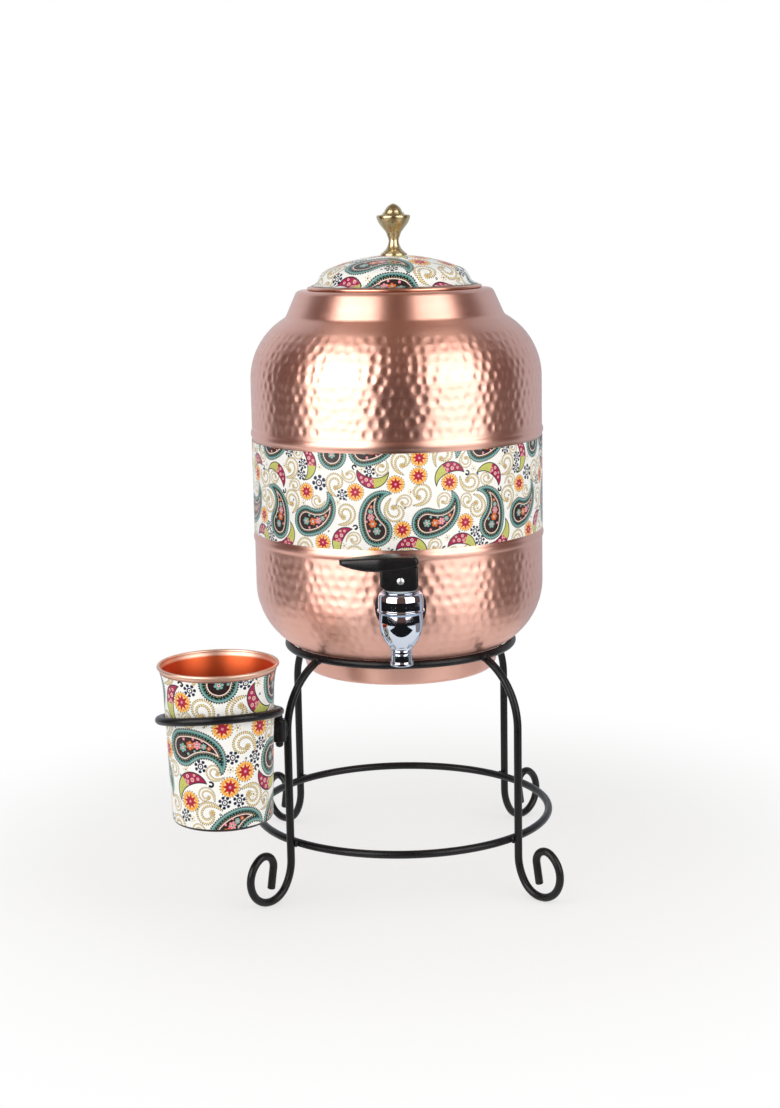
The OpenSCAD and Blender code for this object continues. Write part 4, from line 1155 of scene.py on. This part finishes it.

# %% [markdown]
# ## The tumbler
# A spun copper cup, printed outside and bare inside. Its lip is rolled outwards to a small bead, and the
# copper shows there and in a thin line at the foot: the lip is painted paler, partly as a painted sheen, and
# the foot line is painted dark as painted shade. Outside and inside are one profile at two depths, so the
# sheet has the same thickness everywhere, as spun metal nearly has.

# %% Tumbler
TUMBLER_R, TUMBLER_Z, TUMBLER_H = 155.62, 66.0, 96.6
CUP_BASE_R, CUP_LEAN, CUP_ROUND, CUP_T = 30.1, 2.0, 3.0, 0.8
FLARE_H, FLARE_R, LIP_R, PRINT_DROP = 16.6, 57.0, 1.0, 3.0
HOLDER_BEARING = 225
tumbler_at = np.r_[TUMBLER_R * heading(HOLDER_BEARING), TUMBLER_Z]
flare_y = TUMBLER_H - FLARE_H
lean = math.tan(math.radians(CUP_LEAN))
flare_c = np.array([CUP_BASE_R + flare_y * lean, flare_y]) + FLARE_R * heading(-CUP_LEAN)
lip_y = TUMBLER_H - LIP_R


def flare_turn(y):
    return 180 + math.degrees(math.asin((flare_c[1] - y) / FLARE_R))


def cup_side(inset, low, high):
    """The cup's side between two heights."""
    foot_r = CUP_BASE_R + low * lean - inset / math.cos(math.radians(CUP_LEAN))
    flare = arc(flare_c, FLARE_R + inset, 180 - CUP_LEAN, flare_turn(high), 1.5)
    return np.concatenate([[(foot_r, low)], flare])


def cup_foot(inset, start):
    """The rounding at the cup's foot, from a start angle up to the side."""
    n = heading(-CUP_LEAN)
    round_c = ((CUP_BASE_R * n[0] - CUP_ROUND - n[1] * CUP_ROUND) / n[0], CUP_ROUND)
    return arc(round_c, CUP_ROUND - inset, start, -CUP_LEAN, 9)


def cup_profile(inset):
    return np.concatenate([[(0.01, inset)], cup_foot(inset, -90), cup_side(inset, CUP_ROUND, lip_y)[1:]])


outer, inner = cup_profile(0), cup_profile(CUP_T)
lip = arc((outer[-1, 0], lip_y), LIP_R, -75, 205, 15)
profile = even(np.concatenate([outer[:-1], lip, inner[::-1][1:]]), 6.0)
verts, faces = turned(profile, 128, tumbler_at)
add_piece("tumbler_spun", verts, faces, "tumbler", tumbler_copper, ["tumbler_cup"], "tumbler_copper")

# %% [markdown]
# The tumbler's print starts on the rounding of the foot with a dark line of painted shade, and ends a little
# below the lip. It bends most at its two ends, so lines are cut in more closely there.

# %% The tumbler's print
CUP_PRINT_SCALE, CUP_SEED, CUP_COLUMNS, CUP_MID_R, CUP_SHEET_H = 1.2, 33, 60, 33.0, 96.0
FOOT_TURN, FOOT_SHADE_LINE, FOOT_BEND, FLARE_BEND = -40, 1.5, 2.5, 13
outside = -FIX_GAP - PRINT_T
side = cup_side(outside, CUP_ROUND, lip_y - PRINT_DROP)[1:]
length, cup_at = profile_map(np.concatenate([cup_foot(outside, FOOT_TURN), side]))
height, around_cup = length[-1], 2 * math.pi * CUP_MID_R
sheet = (around_cup / CUP_PRINT_SCALE, CUP_SHEET_H / CUP_PRINT_SCALE)
places = lay_out(*sheet, CUP_SEED)
ground = np.array([(0, 0), (around_cup, 0), (around_cup, height), (0, height)])
lines = [[(x, 0), (x, height)] for x in np.linspace(0, around_cup, CUP_COLUMNS + 1)[1:-1]]
bends = np.r_[np.linspace(0, FOOT_BEND, 6)[1:], np.linspace(height - FLARE_BEND, height, 10)[:-1]]
lines += [[(0, y), (around_cup, y)] for y in bends]
flat, faces, inks = cut_print(places, sheet, CUP_PRINT_SCALE, ground, lines)
# The lowest strip of the print takes the dark outline ink as painted shade.
in_foot_shade = flat[faces].mean(1)[:, 1] < FOOT_SHADE_LINE
inks = ["outline" if dark else name for dark, name in zip(in_foot_shade, inks)]
points, normals = wrapped(2 * np.pi * flat[:, 0] / around_cup, cup_at(flat[:, 1]), tumbler_at)
# The two halves of the print lie one above the other in the flat map
second = flat[faces].mean(1)[:, 0] > around_cup / 2
spread = flat[faces] / (around_cup, height) * (1.96, 0.48)
spread = spread - np.where(second, 0.98, 0)[:, None, None] * (1, 0)
spread = spread + 0.01 + np.where(second, 0.5, 0)[:, None, None] * (0, 1)
add_print("tumbler_print_inks", points, normals, faces, inks, spread, "tumbler", "tumbler_print")

# %% [markdown]
# ## The wire stand
# All wires are 5 mm rod, bent cold over round formers, so each one is a chain of straight
# lines and arcs in one plane. A tube swept along that chain is the wire. It closes itself on a
# ring, and gets a low dome on each cut end.

# %% Swept wire
WIRE_R, LEG_BEARINGS = 2.5, {"front_left": 225, "front_right": 315, "back_left": 135, "back_right": 45}


def swept(path, across, radius=WIRE_R, closed=False, sides=20, dome=0.4):
    """A tube along a flat path. Open ends are closed by a low dome."""
    path = np.asarray(path, float)
    if closed:
        along = np.roll(path, -1, 0) - np.roll(path, 1, 0)
    else:
        along = np.gradient(path, axis=0)
    along /= np.linalg.norm(along, axis=1)[:, None]
    widths = np.full(len(path), radius)
    if not closed:
        t = np.radians([30, 55, 75, 88])
        rise, width = dome * radius * np.sin(t), radius * np.cos(t)
        path = path.copy()
        path[0] += dome * radius * along[0]
        path[-1] -= dome * radius * along[-1]
        start = path[0] - rise[::-1, None] * along[0]
        end = path[-1] + rise[:, None] * along[-1]
        path = np.concatenate([start, path, end])
        along = np.concatenate([np.tile(along[0], (len(t), 1)), along, np.tile(along[-1], (len(t), 1))])
        widths = np.concatenate([width[::-1], widths, width])
    out = np.cross(across, along)
    turn = 2 * np.pi * np.arange(sides) / sides
    cos, sin = np.cos(turn)[None, :, None], np.sin(turn)[None, :, None]
    ring = cos * np.asarray(across)[None, None] + sin * out[:, None]
    verts = (path[:, None] + widths[:, None, None] * ring).reshape(-1, 3)
    faces = grid_faces(len(path), sides, closed).tolist()
    if not closed:
        last = len(verts) - sides
        faces += [list(range(sides))[::-1], list(range(last, last + sides))]
    return verts, faces


def in_plane(flat, bearing):
    """Points of a drawing in the upright plane through the pot's axis at this bearing."""
    d = heading(bearing)
    return np.c_[np.asarray(flat)[:, :1] * d, np.asarray(flat)[:, 1]]


def upright_across(bearing):
    return np.r_[heading(bearing + 90), 0]


def circle(r, z, count=180):
    return np.c_[ring_of(count, r), np.full(count, z)]


print("wire:", 2 * WIRE_R, "mm thick")

# %% [markdown]
# The pot sits in the upper ring, and the lower ring ties the legs together near the floor. Both
# are plain circles, so the tube is swept round until it meets itself.

# %% Rings
UPPER_R, UPPER_Z, LOWER_R, LOWER_Z = 73.0, 150.0, 96.38, 35.5
UP = np.array([0, 0, 1.0])
for name, r, z in (("upper_ring", UPPER_R, UPPER_Z), ("lower_ring", LOWER_R, LOWER_Z)):
    verts, faces = swept(circle(r, z), UP, closed=True)
    add_piece(f"{name}_wire", verts, faces, "stand", stand_paint, [name], "stand_paint")

# %% [markdown]
# A leg is one rod: a short straight from the upper ring, a wide bend, an upright, and a foot that
# curls outwards in three arcs of shrinking radius. The path is drawn once in a flat plane, where
# each arc starts where the last one ends, and is then turned to the four bearings.

# %% Legs
LEG_R, LEG_BEND_R, LEG_SWEEP, FOOT_FLAT, TAIL = 101.4, 45.0, 60, 0.3, 14.0
CURLS = ((28.0, 180, 217), (15.8, 217, 420), (7.5, 420, 550))
lead = heading(LEG_SWEEP + 90)
bend_x = LEG_R - LEG_BEND_R + LEG_BEND_R * math.cos(math.radians(LEG_SWEEP))
bend_z = UPPER_Z - LEG_BEND_R * math.sin(math.radians(LEG_SWEEP)) - (UPPER_R - bend_x) * lead[1] / lead[0]
low_z = WIRE_R - FOOT_FLAT + CURLS[1][0]
centre = np.array([LEG_R + CURLS[0][0], low_z - (CURLS[0][0] - CURLS[1][0]) * heading(CURLS[0][2])[1]])
leg_path = [[(UPPER_R, UPPER_Z) - 0.2 * lead], arc((LEG_R - LEG_BEND_R, bend_z), LEG_BEND_R, LEG_SWEEP, 0, 3)]
for (r, start, end), (next_r, _, _) in zip(CURLS, CURLS[1:] + CURLS[-1:]):
    leg_path.append(arc(centre, r, start, end, 4 if r > 20 else 7))
    tip = centre + r * heading(end)
    centre = centre + (r - next_r) * heading(end)
leg_path.append([tip + TAIL * heading(CURLS[-1][2] + 90)])
leg_path = even(np.concatenate(leg_path), 12.0)
leg_path = leg_path[np.r_[True, np.linalg.norm(np.diff(leg_path, axis=0), axis=1) > 1e-3]]
for name, bearing in LEG_BEARINGS.items():
    verts, faces = swept(in_plane(leg_path, bearing), upright_across(bearing))
    verts[:, 2] = np.maximum(verts[:, 2], 0)
    add_piece(f"leg_{name}_wire", verts, faces, "stand", stand_paint, [f"leg_{name}"], "stand_paint")

# %% [markdown]
# Where two rods meet, the welder leaves a lump that the paint only softens. Each one is a small
# ball, stretched to its place and made uneven by a seeded random draw, so that every run gives
# the same ones.

# %% Welds
LUMP_SIDES = 16
RING_WELD, TIE_WELD, SLEEVE_WELD = (3.0, 3.5, 2.7), (1.5, 1.9, 2.4), (1.5, 1.3, 5.2)
SLEEVE_R, SLEEVE_LOW, SLEEVE_HIGH, SLEEVE_OUT = 108.42, 104.0, 118.0, 4.5


def lump(centre, sizes, bearing, seed):
    """An uneven blob of weld: sizes outwards, sideways and upwards."""
    rng = np.random.default_rng(seed)
    verts, faces = turned(arc((0, 0), 1, -88, 88, 22), LUMP_SIDES)
    verts *= 1 + rng.normal(0, 0.05, (len(verts), 1))
    axes = np.array([np.r_[heading(bearing), 0], upright_across(bearing), UP])
    caps = [list(range(LUMP_SIDES))[::-1], list(range(len(verts) - LUMP_SIDES, len(verts)))]
    return (verts * sizes) @ axes + centre, faces.tolist() + caps


def joined(parts):
    """Several meshes as one."""
    verts, faces, count = [], [], 0
    for v, f in parts:
        verts.append(v)
        faces += [[i + count for i in face] for face in f]
        count += len(v)
    return np.concatenate(verts), faces


welds = []
for seed, bearing in enumerate(LEG_BEARINGS.values()):
    spot = in_plane([(UPPER_R + 1.6, UPPER_Z - 0.9)], bearing)[0]
    welds.append(lump(spot, RING_WELD, bearing, seed))
    for side in (-1, 1):
        spot = in_plane([((LOWER_R + LEG_R) / 2, LOWER_Z)], bearing)[0]
        spot = spot + side * 2.0 * upright_across(bearing)
        welds.append(lump(spot, TIE_WELD, bearing, 10 + seed))
for side in (-1, 1):
    spot = in_plane([(LEG_R + WIRE_R + 0.2, (SLEEVE_LOW + SLEEVE_HIGH) / 2)], HOLDER_BEARING)[0]
    spot = spot + side * 1.7 * upright_across(HOLDER_BEARING)
    welds.append(lump(spot, SLEEVE_WELD, HOLDER_BEARING, 30 + side))
add_piece("stand_welds", *joined(welds), "stand", stand_paint, slot="stand_paint")

# %% [markdown]
# ## The swinging holder
# A pin stands loosely in a short tube on the front left leg, so the holder can swing out. Pin,
# arm and ring are one rod: up, over a tight bend, and round the tumbler in a tilted loop.

# %% Sleeve
SLEEVE_BORE = 2.56
profile = rounded([
    (SLEEVE_BORE, SLEEVE_LOW + 1, 0), (SLEEVE_BORE, SLEEVE_LOW, 0.35), (SLEEVE_OUT, SLEEVE_LOW, 0.6),
    (SLEEVE_OUT, SLEEVE_HIGH, 0.6), (SLEEVE_BORE, SLEEVE_HIGH, 0.35), (SLEEVE_BORE, SLEEVE_LOW + 1, 0),
])
sleeve_at = np.r_[SLEEVE_R * heading(HOLDER_BEARING), 0]
verts, faces = turned(profile, 40, sleeve_at, loop=True)
add_piece("holder_tube", verts, faces, "stand", stand_paint, ["holder_sleeve"], "stand_paint")

# %% [markdown]
# The pin's lower end shows below the sleeve, and its bend rests on the sleeve's upper edge. The
# loop is not quite level: it rises away from the leg and leans sideways, as a hand-bent one does.

# %% Pin, arm and ring
PIN_OUT, ARM_BEND_R, SEAT_GAP, RING_R, RING_RISE, RING_ROLL = 4.0, 8.5, 0.3, 36.308, 5, 9
ARM_WELD, ARM_SEED = (1.6, 3.1, 2.5), 40
bend_low = SLEEVE_HIGH + SEAT_GAP
arm_z = bend_low + ARM_BEND_R
ring_near = TUMBLER_R - RING_R * math.cos(math.radians(RING_RISE))
over = arc((SLEEVE_R + ARM_BEND_R, bend_low), ARM_BEND_R, 180, 90, 7.5)
pin_path = np.concatenate([[(SLEEVE_R, SLEEVE_LOW - PIN_OUT)], over, [(ring_near, arm_z)]])
arm = swept(in_plane(even(pin_path, 5.0), HOLDER_BEARING), upright_across(HOLDER_BEARING), dome=0.8)
tilt = Matrix.Rotation(math.radians(-RING_RISE), 3, "Y") @ Matrix.Rotation(math.radians(RING_ROLL), 3, "X")
tilt = np.array(Matrix.Rotation(math.radians(HOLDER_BEARING), 3, "Z") @ tilt)
ring_at = np.r_[TUMBLER_R * heading(HOLDER_BEARING), arm_z + RING_R * math.sin(math.radians(RING_RISE))]
loop = swept(circle(RING_R, 0, 128) @ tilt.T + ring_at, tilt[:, 2], closed=True)
spot = in_plane([(ring_near - 2.2, arm_z - 0.2)], HOLDER_BEARING)[0]
verts, faces = joined([arm, loop, lump(spot, ARM_WELD, HOLDER_BEARING, ARM_SEED)])
add_piece("holder_rod", verts, faces, "holder", stand_paint, ["holder_wire"], "stand_paint")

# %% [markdown]
# ## The tap
# The tap is a brass casting, turned all over and chromed. Chrome hides nothing: what one sees
# is the studio in it, so the roundings between the forms matter more than its colour. Each
# corner is given the small radius that polishing would leave.

# %% Tap casting
TAP_Y, SHANK_Z, SPOUT_Z, SEAT_Z, HEAD_TOP = -115.0, 191.341, 160.341, 178.341, 204.741
SPOUT_R, BORE_R, CHAMBER_R, BOWL_R, BOWL_CURVE, BOWL_MID = 7.0, 4.6, 8.6, 13.2, 23.0, 187.3
COLLAR_Z, COLLAR_R, HEAD_R, HEAD_OUT, SHOULDER_R = 191.841, 14.1, 13.3, 13.7, 2.4
GROOVES = (SPOUT_Z + 7.2, SPOUT_Z + 9.4)
tap_at = (0, TAP_Y, 0)
wall = SPOUT_R - 0.5
bowl_low = -math.degrees(math.acos((wall - BOWL_R + BOWL_CURVE) / BOWL_CURVE))
spout = rounded([
    (BORE_R, SEAT_Z, 0), (BORE_R, SPOUT_Z, 0.5), (SPOUT_R, SPOUT_Z, 0.6), (SPOUT_R, SPOUT_Z + 1.8, 0.5),
    (wall, SPOUT_Z + 2.4, 0.6), (wall, SPOUT_Z + 6.3, 0),
])
grooves = np.concatenate([
    rounded([
        (wall, z - 0.8, 0), (wall, z - 0.5, 0.2), (wall - 0.5, z, 0.25), (wall, z + 0.5, 0.2),
        (wall, z + 0.8, 0),
    ])
    for z in GROOVES
])
bowl = arc((BOWL_R - BOWL_CURVE, BOWL_MID), BOWL_CURVE, bowl_low + 1.5, 0, 2)
head = rounded([
    (BOWL_R, BOWL_MID + 0.2, 0), (BOWL_R - 0.5, COLLAR_Z + 0.2, 0.3), (COLLAR_R, COLLAR_Z + 1.4, 0.5),
    (COLLAR_R, COLLAR_Z + 2.2, 0.4), (HEAD_R + 0.1, COLLAR_Z + 3.0, 0.4), (HEAD_R + 0.1, HEAD_TOP - 4.4, 4.0),
    (HEAD_OUT - 0.8, HEAD_TOP, SHOULDER_R), (CHAMBER_R, HEAD_TOP, 0), (CHAMBER_R, SEAT_Z, 0),
    (BORE_R, SEAT_Z, 0),
])
profile = np.concatenate([spout, grooves, bowl, head])
profile = profile[np.r_[True, np.linalg.norm(np.diff(profile, axis=0), axis=1) > 1e-4]]
add_piece("tap_casting", *turned(profile, 96, tap_at), "pot", tap_chrome, ["tap_body"], "tap_chrome")

# %% [markdown]
# The shank is the tube that goes through the pot's wall, with a flange that presses on the
# gasket. It is turned like the rest and then laid down, pointing into the pot.

# %% Shank
FLANGE_BACK, FLANGE_FRONT, FLANGE_R = 97.0, 99.5, 13.0
SHANK_BACK, SHANK_FRONT, SHANK_R, INLET_R = 73.0, -TAP_Y - 9.5, 7.5, 4.5


def along_shank(verts):
    """Lays a piece turned about Z along the shank, its heights measured forwards from the pot's axis."""
    return np.c_[verts[:, 0], -verts[:, 2], verts[:, 1] + SHANK_Z]


profile = rounded([
    (INLET_R, SHANK_BACK + 2, 0), (INLET_R, SHANK_BACK, 0.5), (SHANK_R, SHANK_BACK, 0.7),
    (SHANK_R, FLANGE_BACK + FIX_GAP, 0), (FLANGE_R, FLANGE_BACK + FIX_GAP, 0.3),
    (FLANGE_R, FLANGE_FRONT, 1.0), (SHANK_R + 0.8, FLANGE_FRONT, 1.0), (SHANK_R, FLANGE_FRONT + 3, 1.0),
    (SHANK_R, SHANK_FRONT, 0), (INLET_R, SHANK_FRONT, 0), (INLET_R, SHANK_BACK + 2, 0),
])
verts, faces = turned(profile, 72, loop=True)
add_piece("tap_shank", along_shank(verts), faces, "pot", tap_chrome, slot="tap_chrome")

# %% [markdown]
# The bonnet closes the valve chamber from above and guides the stem. Only its flat rim shows,
# just under the lever.

# %% Bonnet
BONNET_TOP, BONNET_LOW, BONNET_R, STEM_R = 205.541, HEAD_TOP - 5, 11.3, 3.55
plug_r, rim_low = CHAMBER_R - FIX_GAP, HEAD_TOP + FIX_GAP
profile = rounded([
    (STEM_R, BONNET_LOW, 0), (STEM_R, BONNET_TOP, 0.25), (BONNET_R, BONNET_TOP, 0.35),
    (BONNET_R, rim_low, 0.1), (plug_r, rim_low, 0), (plug_r, BONNET_LOW, 0.4), (STEM_R, BONNET_LOW, 0),
])
add_piece("tap_cap", *turned(profile, 72, tap_at, loop=True), "pot", tap_chrome, ["tap_bonnet"], "tap_chrome")

# %% [markdown]
# ## The lever
# The lever is moulded in black plastic: a block that straddles the valve stem, and on it a blade
# like a leaf that a thumb presses. Both are lofted from rounded cross sections along their
# length. The block's underside is a cam that rolls off the tap's top as the lever tilts.

# %% Cam and lofts
PIN_Z, PIN_UP, CAM_RATE, LEVER_TOP, LEVER_W, BLOCK_L = 212.441, 6.0, 5.73, 14.0, 16.0, 23.0
cam_turn = np.radians(np.linspace(0, 50, 18))
cam_h = PIN_UP + CAM_RATE * cam_turn
cam_x = -cam_h * np.sin(cam_turn) - CAM_RATE * np.cos(cam_turn)
cam_z = -cam_h * np.cos(cam_turn) + CAM_RATE * np.sin(cam_turn)
BLOCK_FRONT, BLOCK_BACK = cam_x[-1], cam_x[-1] + BLOCK_L


def quarter(d, r):
    """How far a rounded corner of radius r draws in at a distance d from its end."""
    d = np.clip(d, 0, r)
    return r - math.sqrt(r * r - (r - d) ** 2)


def oblong(low, top, half, soft, steps=6):
    """Points round an oblong with soft corners, across and up."""
    corners = ((half - soft, top - soft, 0), (soft - half, top - soft, 90),
               (soft - half, low + soft, 180), (half - soft, low + soft, 270))
    return np.concatenate([arc((y, z), soft, a, a + 90, 90 / steps) for y, z, a in corners])


def loft(stations, section):
    """A closed skin over the oblongs that a function gives at each station."""
    rings = [oblong(*section(x)) for x in stations]
    count = len(rings[0])
    verts = np.concatenate([np.c_[np.full(count, x), ring] for x, ring in zip(stations, rings)])
    faces = grid_faces(len(stations), count).tolist()
    return verts, faces + [list(range(count))[::-1], list(range(len(verts) - count, len(verts)))]


def ends(low, high, r, count=7):
    """Stations that crowd at both rounded ends of a length."""
    bow = 1 - np.cos(np.radians(np.linspace(6, 90, count)))
    return np.concatenate([low + r * bow, np.linspace(low + r, high - r, 26)[1:-1], (high - r * bow)[::-1]])


print(f"the block runs from {BLOCK_FRONT:.1f} to {BLOCK_BACK:.1f} mm along the lever")

# %% [markdown]
# The blade thins towards its tip, its upper side is slightly crowned and its underside hangs a
# little. A section is four numbers at a place along the lever: underside, top, half width and
# the softness of the corners.

# %% Blade and block
BLADE_TIP, BLADE_TIP_R, BLADE_ROOT, TIP_TOP, TIP_LOW, TIP_HALF = -36.0, 4.0, 5.5, 12.2, 9.2, 4.0
BLADE_CROWN, BLADE_SAG, BACK_RISE, BLOCK_TOP = 0.7, 1.3, 3.2, 8.0
STEP_IN, CORNER = 0.35, 1.5


def blade_section(x):
    """Underside, top, half width and softness of the blade, which also caps the block."""
    u = np.clip((x - BLADE_TIP) / (BLOCK_BACK - 4 - BLADE_TIP), 0, 1)
    top = TIP_TOP + (LEVER_TOP - TIP_TOP) * u + BLADE_CROWN * 4 * u * (1 - u)
    t = np.clip((x - BLADE_TIP) / (BLOCK_FRONT - BLADE_TIP), 0, 1)
    low = TIP_LOW + (BLADE_ROOT - TIP_LOW) * t - BLADE_SAG * 4 * t * (1 - t)
    back = np.clip((x - BLOCK_FRONT) / (BLOCK_BACK - BLOCK_FRONT), 0, 1)
    low += BACK_RISE * back ** 2
    widening = (x - BLADE_TIP - BLADE_TIP_R) / (BLOCK_FRONT - BLADE_TIP - BLADE_TIP_R)
    half = TIP_HALF + (LEVER_W / 2 - TIP_HALF) * min(1, widening)
    if x < BLADE_TIP + BLADE_TIP_R:
        half = TIP_HALF - quarter(x - BLADE_TIP, BLADE_TIP_R)
    near_end = quarter(BLOCK_BACK - x, 2.2)
    top, low, half = top - near_end, low + 0.6 * near_end, half - near_end
    return low, top, half, min(1.9, 0.48 * (top - low), 0.8 * half)


def block_section(x):
    """Underside, top, half width and softness of the block under the blade."""
    low = float(np.interp(x, cam_x[::-1], cam_z[::-1])) if x < cam_x[0] else -PIN_UP
    low += quarter(BLOCK_BACK - x, 4.0)
    half = LEVER_W / 2 - STEP_IN - quarter(x - BLOCK_FRONT, CORNER)
    half -= quarter(BLOCK_BACK - STEP_IN - x, CORNER)
    return low, BLOCK_TOP, half, 0.7


blade = loft(ends(BLADE_TIP, BLOCK_BACK, 3.0), blade_section)
block = loft(ends(BLOCK_FRONT, BLOCK_BACK - STEP_IN, CORNER), block_section)
print(f"blade: {len(blade[0])} points, block: {len(block[0])} points")

# %% [markdown]
# The slot for the stem is what a core leaves in the mould. A modifier cuts a plain box out of the
# block, the result is read as a mesh, and the two helpers are thrown away.

# %% Slot for the stem
SLOT_FRONT, SLOT_BACK, SLOT_HALF, SLOT_TOP = -23, 3.9, 3.9, 3.9
core_corners = [
    (x, y, z)
    for x in (SLOT_FRONT, SLOT_BACK) for y in (-SLOT_HALF, SLOT_HALF) for z in (-PIN_UP - 1, SLOT_TOP)
]
core_faces = [(0, 1, 3, 2), (4, 6, 7, 5), (0, 4, 5, 1), (2, 3, 7, 6), (0, 2, 6, 4), (1, 5, 7, 3)]
pin_at = (0, TAP_Y, PIN_Z)


def plain_mesh(name, verts, faces):
    """A helper object that is no piece."""
    mesh = bpy.data.meshes.new(name)
    mesh.from_pydata(np.asarray(verts).tolist(), [], faces)
    obj = bpy.data.objects.new(name, mesh)
    scene.collection.objects.link(obj)
    return obj


moulding, core = plain_mesh("moulding", *block), plain_mesh("core", core_corners, core_faces)
cut = moulding.modifiers.new("slot", "BOOLEAN")
cut.object, cut.operation, cut.solver = core, "DIFFERENCE", "EXACT"
cut_mesh = moulding.evaluated_get(bpy.context.evaluated_depsgraph_get()).to_mesh()
slotted = np.array([v.co for v in cut_mesh.vertices]), [list(f.vertices) for f in cut_mesh.polygons]
bpy.data.objects.remove(moulding)
bpy.data.objects.remove(core)
verts, faces = joined([blade, slotted])
add_piece("lever_moulding", verts + pin_at, faces, "lever", lever_plastic, ["lever"], "black_plastic")

# %% [markdown]
# The pin is a short steel rod that joins the lever to the stem. Its ends were set with a hammer
# and stand out as low domes. The profile of one end is drawn, mirrored to the other, turned, and
# laid across the lever.

# %% Pin
PIN_R, PIN_DOME, PIN_BOW = 2.1, 0.6, 3.6
rim_turn = 90 - math.degrees(math.asin(PIN_R / PIN_BOW))
dome = arc((0, PIN_DOME - PIN_BOW), PIN_BOW, 88, rim_turn, 5)
end = np.concatenate([[(0.02, PIN_DOME)], dome])
half_pin = np.concatenate([end + (0, LEVER_W / 2), [(PIN_R, 0)]])
profile = np.concatenate([half_pin, half_pin[::-1] * (1, -1)])
verts, faces = turned(profile, 32)
verts = np.c_[verts[:, 0], verts[:, 2], verts[:, 1]] + pin_at
add_piece("lever_pin_domed", verts, faces, "lever", pin_steel, ["lever_pin"], "pin_steel")

# %% [markdown]
# ## What is left
# Gaskets, nut, stem and screw are plain turned things whose measured solids already have the
# right shape. Nothing is modelled again for them: they keep their solids and get a finish.

# %% Plain finishes on what is left
FINISH_OF = (
    (lid_copper, ["lid_skirt"]),
    (black_rubber, ["outer_gasket", "inner_gasket"]),
    (lever_plastic, ["shank_nut"]),
    (pin_steel, ["finial_washer", "finial_screw"]),
    (white_silicone, ["slip_washer", "valve_stem", "seat_cup"]),
)
for finish, names in FINISH_OF:
    for name in names:
        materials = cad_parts[name].data.materials
        materials.clear()
        materials.append(finish)
    print(finish.name, "on", ", ".join(names))

# %% [markdown]
# Last, the dressed object's box is set beside the box of the measured model. They should agree
# closely, because everything was drawn with the measured sizes.

# %% Size and finish
lo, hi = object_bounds()
for label, (low, high) in (("measured", cad_box), ("dressed", (lo, hi))):
    print(label, [round(float(b - a), 4) for a, b in zip(low, high)])
